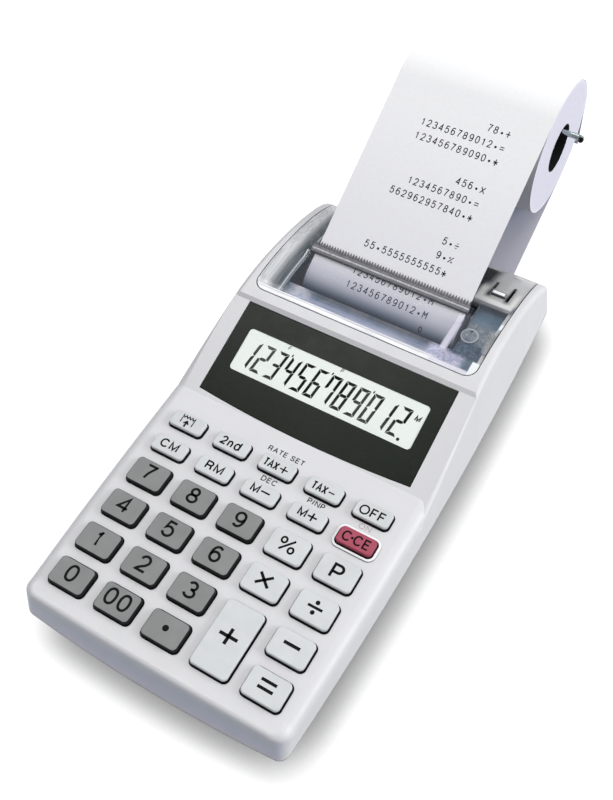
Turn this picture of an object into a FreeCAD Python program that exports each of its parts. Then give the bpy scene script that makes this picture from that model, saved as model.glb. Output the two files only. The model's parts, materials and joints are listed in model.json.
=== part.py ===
import FreeCAD, Part
import math, os

os.makedirs("parts", exist_ok=True)
V = FreeCAD.Vector

# ---------------------------------------------------------------------------
# Printing calculator, millimetres. X to the right of the keyboard, Y to the
# rear, Z up. All dimensions below are in a frame centred on the case; every
# piece is moved by Y_SHIFT at the end, so that the origin lies under the
# middle of the whole object, on the surface that it stands on.
# ---------------------------------------------------------------------------
Y_SHIFT = -30.0

# case
HALF_W = 49.5            # half width of the case at its widest
HALF_L = 95.5            # half length of the case
Z_BOTTOM = 1.2           # underside of the case, above the feet
Z_PART = 16.0            # parting plane of the two shells
Z_DECK = 27.75           # key deck
WALL = 2.0
Y_CREASE = -7.0          # deck turns into the display panel
Y_HUMP = 29.8            # display panel turns into the printer hump
PANEL_SLOPE = 0.285      # slope of the display panel
# draft of the upper walls: side at the front corner, side at the display and
# side at the rear; front face in its middle and at its ends; rear face
SIDE_DRAFT = (0.005, 0.16, 0.155)
FRONT_DRAFT, REAR_DRAFT = (0.295, 0.185), 0.1133
# the lower shell narrows towards the ground: sides, front, rear
LOW_TAPER = (0.37, 0.58, 0.10)
HUMP = [(29.8, 38.75), (33.5, 39.55), (40, 40.35), (46, 40.5), (52, 40.2),
        (58, 39.45), (64, 38.4), (70, 37.05), (76, 35.3), (82, 32.9),
        (87.5, 29.9), (91.3, 26.3), (94.6, 21.5), (98.5, 14.0)]

# keys
COLS = [-34.3, -17.15, 0.0, 17.15, 34.3]
ROWS = [-80.97, -67.8, -54.6, -41.4]
ROW_B, ROW_A = -29.7, -19.25
KEY_W, KEY_H = 12.9, 9.3
SKEY_W, SKEY_H = 12.5, 6.1
PLUS_H = 22.4
KEY_TOP = 29.7
KEY_TRAVEL = 1.1
KEY_GAP = 0.35

# printer, paper and holder
PLATEN = (56.0, 27.5, 10.6)      # y, z, radius
FEED = (45.2, 16.7, 4.0)
PRINT = (40.4, 26.7, 4.2)
INK = (33.5, 29.1, 2.7)
MOTOR = (76.0, 23.0, 7.0)
REDUCTION = (62.6, 17.6)
MODULE = 0.6
T_REDUCTION, T_PINION, T_FEED, T_PRINT = 38, 10, 20, 17
PAPER_X0, PAPER_X1 = -29.7, 28.3
PAPER_T = 0.12
ROLL = (130.0, 53.0, 24.0, 8.6)  # y, z, radius, core radius
WIRE_R = 1.0
HINGE = (99.0, 13.0)             # hinge of the paper holder
ROD = (130.0, 60.45)
LEG_X = -32.6

# battery bay
CELL_R, CELL_L, CELL_PITCH = 7.25, 50.5, 14.6
CELL_Z = 10.6
BAY_Y0, BAY_Y1 = -62.0, -8.65
DOOR_AXIS = (-9.8, 2.1)


# ------------------------------- helpers -----------------------------------
def box(x0, x1, y0, y1, z0, z1):
    return Part.makeBox(x1 - x0, y1 - y0, z1 - z0, V(x0, y0, z0))


def cylx(y, z, r, x0, x1):
    return Part.makeCylinder(r, x1 - x0, V(x0, y, z), V(1, 0, 0))


def cyly(x, z, r, y0, y1):
    return Part.makeCylinder(r, y1 - y0, V(x, y0, z), V(0, 1, 0))


def cylz(x, y, r, z0, z1):
    return Part.makeCylinder(r, z1 - z0, V(x, y, z0), V(0, 0, 1))


def line(a, b):
    return Part.LineSegment(a, b).toShape()


def prism(pts, x0, x1):
    """Polygon of (y, z) points, from x0 to x1."""
    w = Part.makePolygon([V(x0, y, z) for y, z in pts] + [V(x0, pts[0][0], pts[0][1])])
    return Part.Face(w).extrude(V(x1 - x0, 0, 0))


def rr_wire(cx, cy, w, h, r, z):
    """Rounded rectangle in a level plane."""
    x0, x1, y0, y1 = cx - w / 2, cx + w / 2, cy - h / 2, cy + h / 2
    k = r * (1 - math.sqrt(0.5))
    e = [line(V(x0 + r, y0, z), V(x1 - r, y0, z)),
         Part.Arc(V(x1 - r, y0, z), V(x1 - k, y0 + k, z), V(x1, y0 + r, z)).toShape(),
         line(V(x1, y0 + r, z), V(x1, y1 - r, z)),
         Part.Arc(V(x1, y1 - r, z), V(x1 - k, y1 - k, z), V(x1 - r, y1, z)).toShape(),
         line(V(x1 - r, y1, z), V(x0 + r, y1, z)),
         Part.Arc(V(x0 + r, y1, z), V(x0 + k, y1 - k, z), V(x0, y1 - r, z)).toShape(),
         line(V(x0, y1 - r, z), V(x0, y0 + r, z)),
         Part.Arc(V(x0, y0 + r, z), V(x0 + k, y0 + k, z), V(x0 + r, y0, z)).toShape()]
    return Part.Wire(e)


def rr_prism(cx, cy, w, h, r, z0, z1):
    return Part.Face(rr_wire(cx, cy, w, h, r, z0)).extrude(V(0, 0, z1 - z0))


def bez(p):
    b = Part.BezierCurve()
    b.setPoles(p)
    return b.toShape()


def plan_wire(z, inset=0.0):
    """Outline of the case at height z: bowed sides, front and rear, soft
    corners, drawn in by the draft of the walls and by inset. Below the
    parting plane it is the outline of the lower shell."""
    h = z - Z_PART
    if h > -1.01:
        d0, d1, d2 = [d * h for d in SIDE_DRAFT]
        fm, fe, dr = FRONT_DRAFT[0] * h, FRONT_DRAFT[1] * h, REAR_DRAFT * h
        ys, xf, yq, xr = -90.4 + 0.38 * h, 43.4 - 0.25 * h, 87.5, 40.0
    else:
        d0 = d1 = d2 = -LOW_TAPER[0] * h
        fm = fe = -LOW_TAPER[1] * h
        dr = -LOW_TAPER[2] * h
        ys, xf, yq, xr = -87.5 - 0.75 * h, 41.0 + 0.6 * h, 87.5 + 0.1 * h, 40.0 + 0.35 * h
    s0 = (46.85 - d0 - inset, ys)
    s1 = (HALF_W - d1 - inset, 22.0)
    s2 = (47.1 - d2 - inset, yq)
    ym = -HALF_L - 0.15 + fm + inset
    yf = -HALF_L + 1.45 + fe + inset
    yr, yb = HALF_L - dr - inset - 0.35, HALF_L - dr - inset
    right = Part.Arc(V(s0[0], s0[1], z), V(s1[0], s1[1], z), V(s2[0], s2[1], z)).toShape()
    front = Part.Arc(V(-xf, yf, z), V(0, ym, z), V(xf, yf, z)).toShape()
    rear = Part.Arc(V(xr, yr, z), V(0, yb, z), V(-xr, yr, z)).toShape()
    left = Part.Arc(V(-s2[0], s2[1], z), V(-s1[0], s1[1], z), V(-s0[0], s0[1], z)).toShape()

    def tan(e, end):
        t = e.tangentAt(e.LastParameter if end else e.FirstParameter)
        t.normalize()
        return t
    k = 0.56
    p0, p1 = V(xf, yf, z), V(s0[0], s0[1], z)
    f = [p0, p0 + tan(front, True) * (abs(p1.x - p0.x) * 0.6),
         p1 - tan(right, False) * (abs(p1.y - p0.y) * 0.6), p1]
    q0, q1 = V(s2[0], s2[1], z), V(xr, yr, z)
    g = [q0, q0 + tan(right, True) * (abs(q1.y - q0.y) * k),
         q1 - tan(rear, False) * (abs(q1.x - q0.x) * k), q1]

    def mir(p):
        return V(-p.x, p.y, p.z)
    return Part.Wire([front, bez(f), right, bez(g), rear,
                      bez([mir(p) for p in reversed(g)]), left,
                      bez([mir(p) for p in reversed(f)])])


def hump_edge(x, dz):
    sp = Part.BSplineCurve()
    sp.interpolate([V(x, y, z + dz) for y, z in HUMP])
    return sp.toShape()


def side_profile(deck_dz, panel_dz, hump_dz, z0=10.0, x=60.0):
    """Everything below the deck, the panel and the hump."""
    yl, zl = HUMP[-1]
    p = [V(-x, -110, z0), V(-x, -110, Z_DECK + deck_dz),
         V(-x, Y_CREASE + 0.15 * deck_dz, Z_DECK + deck_dz),
         V(-x, Y_HUMP, HUMP[0][1] + panel_dz), V(-x, Y_HUMP, HUMP[0][1] + hump_dz),
         V(-x, yl, zl + hump_dz), V(-x, yl, z0)]
    e = [line(p[0], p[1]), line(p[1], p[2]), line(p[2], p[3])]
    if abs(panel_dz - hump_dz) > 1e-6:
        e.append(line(p[3], p[4]))
    e += [hump_edge(-x, hump_dz), line(p[5], p[6]), line(p[6], p[0])]
    return Part.Face(Part.Wire(e)).extrude(V(2 * x, 0, 0))


def hump_slab(top, bottom, x0, x1, y0, y1):
    """Slab between two offsets of the hump surface."""
    a = side_profile(0, top, top, 0.0, 60.0)
    b = side_profile(0, bottom, bottom, 0.0, 60.0)
    return a.cut(b).common(box(x0, x1, y0, y1, 0, 60))


def zp(y):
    return Z_DECK + PANEL_SLOPE * (y - Y_CREASE)


def panel_slab(top, bottom, x0, x1, y0, y1):
    return prism([(y0, zp(y0) + bottom), (y1, zp(y1) + bottom),
                  (y1, zp(y1) + top), (y0, zp(y0) + top)], x0, x1)


def window_face(grow, z):
    x0, x1, yf, ym, yr = 39.6 + grow, 39.4 + grow, -5.0 - grow, -6.72 - grow, 28.3 + grow
    e = [Part.Arc(V(-x0, yf, z), V(0, ym, z), V(x0, yf, z)).toShape(),
         line(V(x0, yf, z), V(x1, yr, z)), line(V(x1, yr, z), V(-x1, yr, z)),
         line(V(-x1, yr, z), V(-x0, yf, z))]
    return Part.Face(Part.Wire(e))


class Track:
    """Path in the YZ plane made of straight runs and tangent arcs."""

    def __init__(self, y, z, heading):
        self.p, self.h, self.steps = (y, z), heading, []
        self.start = (y, z, heading)

    def line(self, length):
        self.steps.append(("L", length, 0))
        a = math.radians(self.h)
        self.p = (self.p[0] + length * math.cos(a), self.p[1] + length * math.sin(a))
        return self

    def turn(self, radius, angle):
        """Left turn where angle is positive."""
        self.steps.append(("T", radius, angle))
        s = 1 if angle > 0 else -1
        n = math.radians(self.h + 90 * s)
        c = (self.p[0] + radius * math.cos(n), self.p[1] + radius * math.sin(n))
        self.h += angle
        n = math.radians(self.h + 90 * s)
        self.p = (c[0] - radius * math.cos(n), c[1] - radius * math.sin(n))
        return self

    def edges(self, x, off):
        y, z, h = self.start
        n = math.radians(h + 90)
        y, z = y + off * math.cos(n), z + off * math.sin(n)
        out = []
        for kind, a, b in self.steps:
            if kind == "L":
                r = math.radians(h)
                q = (y + a * math.cos(r), z + a * math.sin(r))
                out.append(line(V(x, y, z), V(x, q[0], q[1])))
            else:
                s = 1 if b > 0 else -1
                rad = a - s * off
                n = math.radians(h + 90 * s)
                c = (y + rad * math.cos(n), z + rad * math.sin(n))
                n1 = math.radians(h + b / 2 + 90 * s)
                n2 = math.radians(h + b + 90 * s)
                m = (c[0] - rad * math.cos(n1), c[1] - rad * math.sin(n1))
                q = (c[0] - rad * math.cos(n2), c[1] - rad * math.sin(n2))
                out.append(Part.Arc(V(x, y, z), V(x, m[0], m[1]), V(x, q[0], q[1])).toShape())
                h += b
            y, z = q
        return out, (y, z)

    def band(self, x0, x1, thick):
        a, ea = self.edges(x0, 0.0)
        b, eb = self.edges(x0, thick)
        sa = a[0].Vertexes[0].Point
        sb = b[0].Vertexes[0].Point
        e = a + [line(V(x0, ea[0], ea[1]), V(x0, eb[0], eb[1]))] + b + [line(sb, sa)]
        w = Part.Wire(Part.__sortEdges__(e))
        return Part.Face(w).extrude(V(x1 - x0, 0, 0))


def aim(p, c, radius):
    """Heading and length from p to a clockwise arc about c."""
    v = (c[0] - p[0], c[1] - p[1])
    d = math.hypot(v[0], v[1])
    return (math.degrees(math.atan2(v[1], v[0]) + math.asin(radius / d)),
            math.sqrt(d * d - radius * radius))


def gear(teeth, y, z, x0, x1, phase, bore, module=MODULE):
    rp = teeth * module / 2
    rr, ra = rp - 1.1 * module, rp + 0.8 * module
    pitch = 2 * math.pi / teeth
    pts = []
    for i in range(teeth):
        c = phase + i * pitch
        for f, r in ((-0.31, rr), (-0.21, rp), (-0.10, ra), (0.10, ra), (0.21, rp), (0.31, rr)):
            a = c + f * pitch
            pts.append((y + r * math.cos(a), z + r * math.sin(a)))
    g = prism(pts, x0, x1)
    if bore > 0:
        g = g.cut(cylx(y, z, bore, x0 - 1, x1 + 1))
    return g


def mesh_phase(ca, ra, pa, ta, cb, rb, tb):
    """Phase of gear b that puts a gap where gear a has a tooth."""
    phi = math.atan2(cb[1] - ca[1], cb[0] - ca[0])
    pitch_a, pitch_b = 2 * math.pi / ta, 2 * math.pi / tb
    delta = (phi - pa) % pitch_a
    return phi + math.pi + delta * ra / rb + pitch_b / 2


def wire_sweep(points, radii, r):
    """Round wire along straight runs joined by tangent arcs."""
    edges, last = [], points[0]
    for i in range(1, len(points) - 1):
        a, b, c = points[i - 1], points[i], points[i + 1]
        u, w = (a - b), (c - b)
        u.normalize()
        w.normalize()
        ang = math.acos(max(-1, min(1, u.dot(w))))
        t = radii[i - 1] / math.tan(ang / 2)
        p, q = b + u * t, b + w * t
        bis = u + w
        bis.normalize()
        m = b + bis * (radii[i - 1] / math.sin(ang / 2) - radii[i - 1])
        edges.append(line(last, p))
        edges.append(Part.Arc(p, m, q).toShape())
        last = q
    edges.append(line(last, points[-1]))
    path = Part.Wire(edges)
    d = points[1] - points[0]
    prof = Part.Wire([Part.Circle(points[0], d, r).toShape()])
    s = path.makePipeShell([prof], True, False)
    print("wire length", round(path.Length, 2), "volume", round(s.Volume, 1),
          "section x length", round(math.pi * r * r * path.Length, 1))
    return s


NODES = {}


def keep(name, shape):
    if isinstance(shape, list):
        shape = Part.makeCompound(shape)
    NODES[name] = shape


# ------------------------------ upper case ---------------------------------
outer = Part.makeLoft([plan_wire(Z_PART), plan_wire(46.0)], True, True)
outer = outer.common(side_profile(0, 0, 0))

doc = FreeCAD.newDocument("shell")
src = doc.addObject("Part::Feature", "src")
src.Shape = outer
fil = doc.addObject("Part::Fillet", "fil")
fil.Base = src


def edge_radius(y):
    """Sides of the deck round, its front edge crisp, the hump in between."""
    if y < -90.0:
        return 1.6
    if y < Y_CREASE - 0.01:
        return 4.2
    if y < Y_HUMP + 0.1:
        return 4.2 - 2.4 * (y - Y_CREASE) / (Y_HUMP - Y_CREASE)
    return 1.8


picked = []
for i, ed in enumerate(outer.Edges):
    bb = ed.BoundBox
    m = ed.valueAt((ed.FirstParameter + ed.LastParameter) / 2)
    if bb.ZMin > 17 and abs(m.y - Y_CREASE) > 0.01 and abs(m.y - Y_HUMP) > 0.01:
        ra, rb = edge_radius(ed.valueAt(ed.FirstParameter).y), edge_radius(ed.valueAt(ed.LastParameter).y)
        if bb.YMin > Y_HUMP - 0.1:
            ra = rb = 1.8
        picked.append((i + 1, ra, rb))
fil.Edges = picked
doc.recompute()
OUT = fil.Shape.copy()
print("outer", OUT.isValid(), len(OUT.Faces), round(OUT.Volume))

inner = Part.makeLoft([plan_wire(15.0, WALL), plan_wire(46.0, WALL)], True, True)
inner = inner.common(side_profile(-WALL, -2.6, -2.1))
case = OUT.cut(inner)

# the display panel lies a little below the hump: a low step at its rear edge
case = case.cut(prism([(Y_CREASE, Z_DECK), (28.5, zp(28.5)), (29.95, 38.83),
                       (29.95, 60), (Y_CREASE, 60)], -60, 60))

# bosses for the case screws
SCREWS = [(-39.4, -11.4), (39.4, -11.4), (-34, 91.2), (34, 91.2)]
for x, y in SCREWS:
    boss = cylz(x, y, 2.6, Z_PART, 40).common(OUT)
    boss = boss.common(box(-60, 60, -110, 110, 0, 27.0 if y < 50 else 24.6))
    case = case.fuse(boss)

# ledges that carry the printer cover
led = hump_slab(-1.95, -3.3, -44.5, -37.9, 36.5, 88.0).fuse(
    hump_slab(-1.95, -3.3, 39.9, 44.5, 36.5, 88.0)).common(OUT)
led = led.cut(hump_slab(-1.0, -4.4, -60, 60, 36.6, 87.9).common(
    box(-39.9, 39.9, 0, 100, 0, 60)).common(box(-37.9, 39.9, 0, 100, 0, 60)))
case = case.fuse(led)

# opening for the printer cover
CO_X, CO_Y0, CO_Y1 = 41.75, 33.35, 89.25
opening = rr_prism(0, (CO_Y0 + CO_Y1) / 2, 2 * CO_X, CO_Y1 - CO_Y0, 4.2, 20, 60)
opening = opening.fuse(box(-CO_X, CO_X, 80, CO_Y1, 20, 60))
opening = opening.cut(side_profile(0, -1.9, -1.9))
exit_cut = prism([(88.0, 26.75), (97.0, 26.75 + 9.0 * 0.5096), (97.0, 60), (88.0, 60)], -CO_X, CO_X)
case = case.cut(opening).cut(exit_cut)
# below the ledge level the middle of the opening is free as well
case = case.cut(rr_prism(1.0, (CO_Y0 + CO_Y1) / 2, 77.7, CO_Y1 - CO_Y0 - 0.2, 3.0, 20, 60))

# recess of the window, and the aperture of the display below it
case = case.cut(window_face(0.15, 20).extrude(V(0, 0, 40)).common(
    panel_slab(5, -1.45, -45, 45, -12, 35)))
case = case.cut(box(-36.2, 36.2, 3.2, 22.2, 20, 50))

# key holes
KEYS = []
for c, names in enumerate([("0", "1", "4", "7"), ("00", "2", "5", "8"), ("point", "3", "6", "9"),
                           (None, None, "multiply", "percent"), ("equals", "minus", "divide", "p")]):
    for r, n in enumerate(names):
        if n:
            KEYS.append(("key_" + n, COLS[c], ROWS[r], KEY_W, KEY_H, 1.6))
KEYS.append(("key_plus", COLS[3], (ROWS[0] + ROWS[1]) / 2, KEY_W, PLUS_H, 1.6))
for c, n in enumerate(("cm", "rm", "m_minus", "m_plus", "clear")):
    KEYS.append(("key_" + n, COLS[c], ROW_B, SKEY_W, SKEY_H, 1.5))
for c, n in enumerate(("feed", "second", "tax_plus", "tax_minus", "off")):
    KEYS.append(("key_" + n, COLS[c], ROW_A, SKEY_W, SKEY_H, 1.5))

# raised guard round the clear key
guard = rr_prism(COLS[4], ROW_B, 14.9, 8.3, 2.6, 26.5, 28.3)
guard = guard.makeFillet(0.3, [e for e in guard.Edges if e.BoundBox.ZMin > 28.2])
case = case.fuse(guard)
holes = []
for n, x, y, w, h, r in KEYS:
    holes.append(rr_prism(x, y, w + 2 * KEY_GAP, h + 2 * KEY_GAP, r + KEY_GAP, 24, 31))
case = case.cut(Part.makeCompound(holes))
for x, y in SCREWS:
    case = case.cut(cylz(x, y, 1.25, 15.0, 21.5))
# shadow groove above the parting plane
case = case.cut(box(-60, 60, -110, 110, Z_PART, Z_PART + 0.3).cut(
    Part.Face(plan_wire(Z_PART - 0.1, 0.4)).extrude(V(0, 0, 0.6))))
case = case.removeSplitter()
keep("upper_case", case)

# -------------------------------- keys -------------------------------------
for n, x, y, w, h, r in KEYS:
    lo = rr_wire(x, y, w + 0.25, h + 0.25, r + 0.1, 24.4)
    hi = rr_wire(x, y, w - 0.35, h - 0.35, r - 0.15, KEY_TOP)
    k = Part.makeLoft([lo, hi], True, True)
    k = k.makeFillet(0.4, [e for e in k.Edges if e.BoundBox.ZMin > KEY_TOP - 0.01])
    k = k.fuse(rr_prism(x, y, w + 1.9, h + 1.9, r + 0.6, 24.55, 25.3)).removeSplitter()
    keep(n, k)

mat = box(-41.8, 41.8, -86.8, -14.6, 22.0, 22.8)
domes = []
for n, x, y, w, h, r in KEYS:
    spots = [(x, y)] if h < 15 else [(x, y - 6.6), (x, y + 6.6)]
    for sx, sy in spots:
        domes.append(Part.makeCone(3.0, 2.0, 0.5, V(sx, sy, 22.5), V(0, 0, 1)))
mat = mat.fuse(domes).removeSplitter()
keep("key_mat", mat)

board = box(-41.8, 41.8, -86.8, 26.0, 20.4, 22.0)
board = board.fuse([box(-8, 8, -4, 12, 21.5, 23.6), cylz(24, 6, 4.0, 21.5, 26.0),
                    box(-30, -20, 0, 4, 21.5, 24.0)])
for x, y in SCREWS[0:2]:
    board = board.cut(cylz(x, y, 3.0, 19, 30))
keep("main_board", board.removeSplitter())

keep("display_window", window_face(0.0, 20).extrude(V(0, 0, 40)).common(
    panel_slab(-0.1, -1.4, -45, 45, -12, 35)))
keep("lcd_module", panel_slab(-1.5, -4.1, -35.9, 35.9, 3.5, 21.9))

# ------------------------------ lower case ---------------------------------
low = Part.makeLoft([plan_wire(Z_PART), plan_wire(Z_BOTTOM)], True, True)
low = low.makeFillet(3.0, [e for e in low.Edges if e.BoundBox.ZMax < Z_BOTTOM + 0.01])
LOW = low.copy()
hollow = Part.makeLoft([plan_wire(Z_PART, WALL), plan_wire(Z_BOTTOM + WALL, WALL)], True, True)
hollow = hollow.makeFillet(2.0, [e for e in hollow.Edges if e.BoundBox.ZMax < Z_BOTTOM + WALL + 0.01])
low = low.cut(hollow)
# battery bay: four walls and a roof
bay = box(-31.4, 31.4, BAY_Y0 - 1.6, BAY_Y1 + 1.6, Z_BOTTOM + 0.5, 19.4)
bay = bay.cut(box(-29.8, 29.8, BAY_Y0, BAY_Y1, 0, 18.3))
low = low.fuse(bay)
low = low.cut(box(-30.2, 30.2, BAY_Y0, BAY_Y1, 0, Z_BOTTOM + WALL + 0.1))
low = low.cut(cylx(DOOR_AXIS[0], DOOR_AXIS[1], 0.78, -31.2, 31.2))
# screw posts with counterbores
for x, y in SCREWS:
    low = low.fuse(cylz(x, y, 3.0, Z_BOTTOM, Z_PART).common(LOW))
for x, y in SCREWS:
    low = low.cut(cylz(x, y, 1.45, 0, 20)).cut(cylz(x, y, 2.45, 0, 5.2))
# tongues that stand behind the front wall of the upper shell
for x0 in (-26.0, -5.0, 16.0):
    low = low.fuse(box(x0, x0 + 10.0, -91.5, -90.1, 11.0, 20.0).common(
        LOW.fuse(box(-40, 40, -92, -80, Z_PART, 25))))
# pockets for the feet
FEET = [(-34, -72), (34, -72), (-34, 72), (34, 72)]
for x, y in FEET:
    low = low.cut(cylz(x, y, 4.6, 0, 2.0))
# inlet for the paper in the rear wall
low = low.cut(box(PAPER_X0 - 1.2, PAPER_X1 + 1.2, 90, 99, 7.5, 11.35))
# lugs of the paper holder
for x0, x1 in ((-36.7, -35.1), (-40.7, -39.1)):
    lug = prism([(92.5, 9.6), (99.0, 9.9), (101.6, 11.6), (101.6, 14.4), (99.0, 15.9),
                 (92.5, 15.9)], x0, x1)
    low = low.fuse(lug)
low = low.cut(cylx(HINGE[0], HINGE[1], WIRE_R + 0.05, -42.5, -33.0))
# hole for the adaptor plug in the left flank
JACK = (62.0, 11.0)
low = low.cut(cylx(JACK[0], JACK[1], 3.2, -52, -42))
low = low.removeSplitter()
keep("lower_case", low)

door = box(-29.9, 29.9, BAY_Y0 + 0.35, DOOR_AXIS[0], Z_BOTTOM, Z_BOTTOM + 1.8)
door = door.fuse([cylx(DOOR_AXIS[0], DOOR_AXIS[1], 0.9, -29.9, 29.9),
                  cylx(DOOR_AXIS[0], DOOR_AXIS[1], 0.7, -30.9, 30.9)])
door = door.cut(cylz(0, BAY_Y0 + 0.35, 7.0, 0, Z_BOTTOM + 0.8))
for i in range(6):
    yy = BAY_Y0 + 10.5 + i * 1.6
    door = door.cut(box(-9, 9, yy, yy + 0.8, 0, Z_BOTTOM + 0.4))
keep("battery_door", door.removeSplitter())

cells = []
for i in range(4):
    x = (i - 1.5) * CELL_PITCH
    y0 = -60.9
    s = -1 if i % 2 else 1
    body = cyly(x, CELL_Z, CELL_R, y0 + (0 if s > 0 else 1.2), y0 + CELL_L - (1.2 if s > 0 else 0))
    nub = cyly(x, CELL_Z, 2.7, y0 + CELL_L - 1.2, y0 + CELL_L) if s > 0 else cyly(x, CELL_Z, 2.7, y0, y0 + 1.2)
    cells.append(body.fuse(nub))
keep("batteries", cells)

contacts = []
for i in range(4):
    x = (i - 1.5) * CELL_PITCH
    contacts.append(box(x - 5, x + 5, -61.95, -61.2, 5, 16))
    contacts.append(box(x - 5, x + 5, -10.1, -9.35, 5, 16))
keep("battery_contacts", contacts)

screws = []
for x, y in SCREWS:
    head = cylz(x, y, 2.25, 3.5, 5.15)
    shank = cylz(x, y, 1.25, 5.15, 20.5)
    s = head.fuse(shank)
    s = s.cut(box(x - 1.6, x + 1.6, y - 0.35, y + 0.35, 3.2, 4.3)).cut(
        box(x - 0.35, x + 0.35, y - 1.6, y + 1.6, 3.2, 4.3))
    screws.append(s)
keep("case_screws", screws)

feet = []
for x, y in FEET:
    f = cylz(x, y, 4.5, 0, 2.0)
    f = f.makeFillet(0.5, [e for e in f.Edges if e.BoundBox.ZMax < 0.01])
    feet.append(f)
keep("rubber_feet", feet)

jack = box(-42.9, -36.1, 57.5, 66.5, 7.3, 15.0).fuse(cylx(JACK[0], JACK[1], 2.9, -45.4, -42.5))
jack = jack.cut(cylx(JACK[0], JACK[1], 1.8, -50, -36.9))
keep("adaptor_jack", jack.removeSplitter())

# ------------------------------- printer -----------------------------------
PY, PZ, PR = PLATEN
FX0, FX1, FX2 = -34.4, 29.7, 40.4      # left plate, right plate, outer bracket
plate = [(34.5, 8.0), (34.5, 30.5), (37.6, 34.8), (60.0, 34.8), (70.0, 32.6), (80.0, 28.4),
         (84.5, 25.0), (84.5, 8.0)]
frame = prism(plate, FX0 - 1.6, FX0)
frame = frame.fuse([
    prism(plate, FX1, FX1 + 1.6),
    box(FX0 - 1.6, FX1 + 1.6, 34.5, 84.5, 6.0, 8.0),
    # front bar, seen through the cover
    prism([(36.4, 33.2), (44.4, 33.2), (44.4, 34.8), (37.4, 34.8), (36.4, 34.2)],
          FX0 - 0.5, FX1 + 0.5),
    # roof and outer wall over the gears
    prism([(36.4, 33.4), (60.0, 33.4), (70.0, 31.2), (82.6, 26.0), (82.6, 27.4), (70.0, 32.6),
           (60.0, 34.8), (36.4, 34.8)], FX1 + 0.5, FX2),
    prism([(36.4, 8.0), (36.4, 34.8), (60.0, 34.8), (70.0, 32.6), (82.6, 27.4), (82.6, 8.0)],
          FX2 - 1.4, FX2),
    box(FX1 + 0.5, FX2, 36.4, 38.2, 8.0, 20.0),
    box(FX1 + 0.5, FX2, 81.2, 82.6, 8.0, 26.6),
    # screw head on the bracket
    cylz(32.2, 51.8, 3.0, 34.6, 35.6),
])
frame = frame.cut(box(31.8, 32.6, 49.0, 54.6, 35.1, 36.0).common(cylz(32.2, 51.8, 2.4, 30, 40)))
for (y, z, r) in ((FEED[0], FEED[1], 1.5), (PRINT[0], PRINT[1], 1.2)):
    frame = frame.cut(cylx(y, z, r + 0.06, -40, 38.0))
frame = frame.cut(cylx(MOTOR[0], MOTOR[1], 2.4, 20, 38.0))
frame = frame.cut(cylx(REDUCTION[0], REDUCTION[1], 1.06, 28, 38.0))
# four feet that stand on the floor of the case
frame = frame.fuse([cylz(x, y, 2.2, Z_BOTTOM + WALL, 6.2) for x, y in
                    ((-32, 38), (27, 38), (-32, 81), (27, 81))])
keep("printer_frame", frame.removeSplitter())

platen = cylx(PY, PZ, PR, PAPER_X0 - 0.6, PAPER_X1 + 0.6)
platen = platen.fuse([cylx(PY, PZ, 4.0, FX0, FX1)])
platen = platen.cut(box(-60, 60, PY, PY + 20, 37.1, 60))
keep("platen", platen.removeSplitter())

GX0, GX1 = 32.0, 34.6
keep("feed_shaft", cylx(FEED[0], FEED[1], 1.5, -36.6, GX1 + 0.6))
keep("feed_rollers", [cylx(FEED[0], FEED[1], FEED[2], a, b).cut(cylx(FEED[0], FEED[1], 1.5, a - 1, b + 1))
                      for a, b in ((-23.0, -12.0), (10.0, 21.0))])
R_red, R_pin, R_feed, R_pri = [t * MODULE / 2 for t in (T_REDUCTION, T_PINION, T_FEED, T_PRINT)]
p_red = 0.0
p_feed = mesh_phase(REDUCTION, R_red, p_red, T_REDUCTION, FEED[:2], R_feed, T_FEED)
p_pin = mesh_phase(REDUCTION, R_red, p_red, T_REDUCTION, MOTOR[:2], R_pin, T_PINION)
p_pri = mesh_phase(FEED[:2], R_feed, p_feed, T_FEED, PRINT[:2], R_pri, T_PRINT)
keep("feed_gear", gear(T_FEED, FEED[0], FEED[1], GX0, GX1, p_feed, 1.5))
keep("print_gear", gear(T_PRINT, PRINT[0], PRINT[1], GX0, GX1, p_pri, 1.2))
keep("reduction_gear", gear(T_REDUCTION, REDUCTION[0], REDUCTION[1], GX0, GX1, p_red, 0).fuse(
    cylx(REDUCTION[0], REDUCTION[1], 1.0, FX1, GX1 + 1.0)).removeSplitter())
keep("motor_pinion", gear(T_PINION, MOTOR[0], MOTOR[1], GX0, GX1, p_pin, 0).fuse(
    cylx(MOTOR[0], MOTOR[1], 0.8, FX1 + 0.2, GX1)).removeSplitter())
motor = cylx(MOTOR[0], MOTOR[1], MOTOR[2], -4.0, FX1).fuse(cylx(MOTOR[0], MOTOR[1], 2.3, FX1 - 0.5, FX1 + 0.1))
motor = motor.cut(box(-10, 60, 68, 84, MOTOR[1] + 5.6, 40)).cut(box(-10, 60, 68, 84, 0, MOTOR[1] - 5.6))
keep("motor", motor.removeSplitter())

keep("print_shaft", cylx(PRINT[0], PRINT[1], 1.2, -36.6, GX1 + 0.6))
CX0 = -29.5                               # carriage at its rest, left end
wheel = gear(14, PRINT[0], PRINT[1], CX0 + 2.0, CX0 + 8.0, 0.1, 1.26, 0.54)
keep("print_wheel", wheel)
side = [(30.6, 25.6), (30.6, 31.2), (32.6, 32.2), (37.5, 32.4), (43.6, 28.6), (43.6, 24.4), (40.4, 23.2), (34, 23.6)]
carriage = prism(side, CX0, CX0 + 1.4).fuse([
    prism(side, CX0 + 8.6, CX0 + 10.0),
    box(CX0, CX0 + 10.0, 36.2, 39.0, 31.5, 32.7).common(prism([(36, 31.3), (36, 32.4), (37.5, 32.4), (39.0, 31.5), (39, 31.3)], -60, 60))])
carriage = carriage.cut(cylx(PRINT[0], PRINT[1], 1.26, -40, 0))
carriage = carriage.cut(cylx(INK[0], INK[1], 0.86, -40, 0))
keep("carriage", carriage.removeSplitter())
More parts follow.
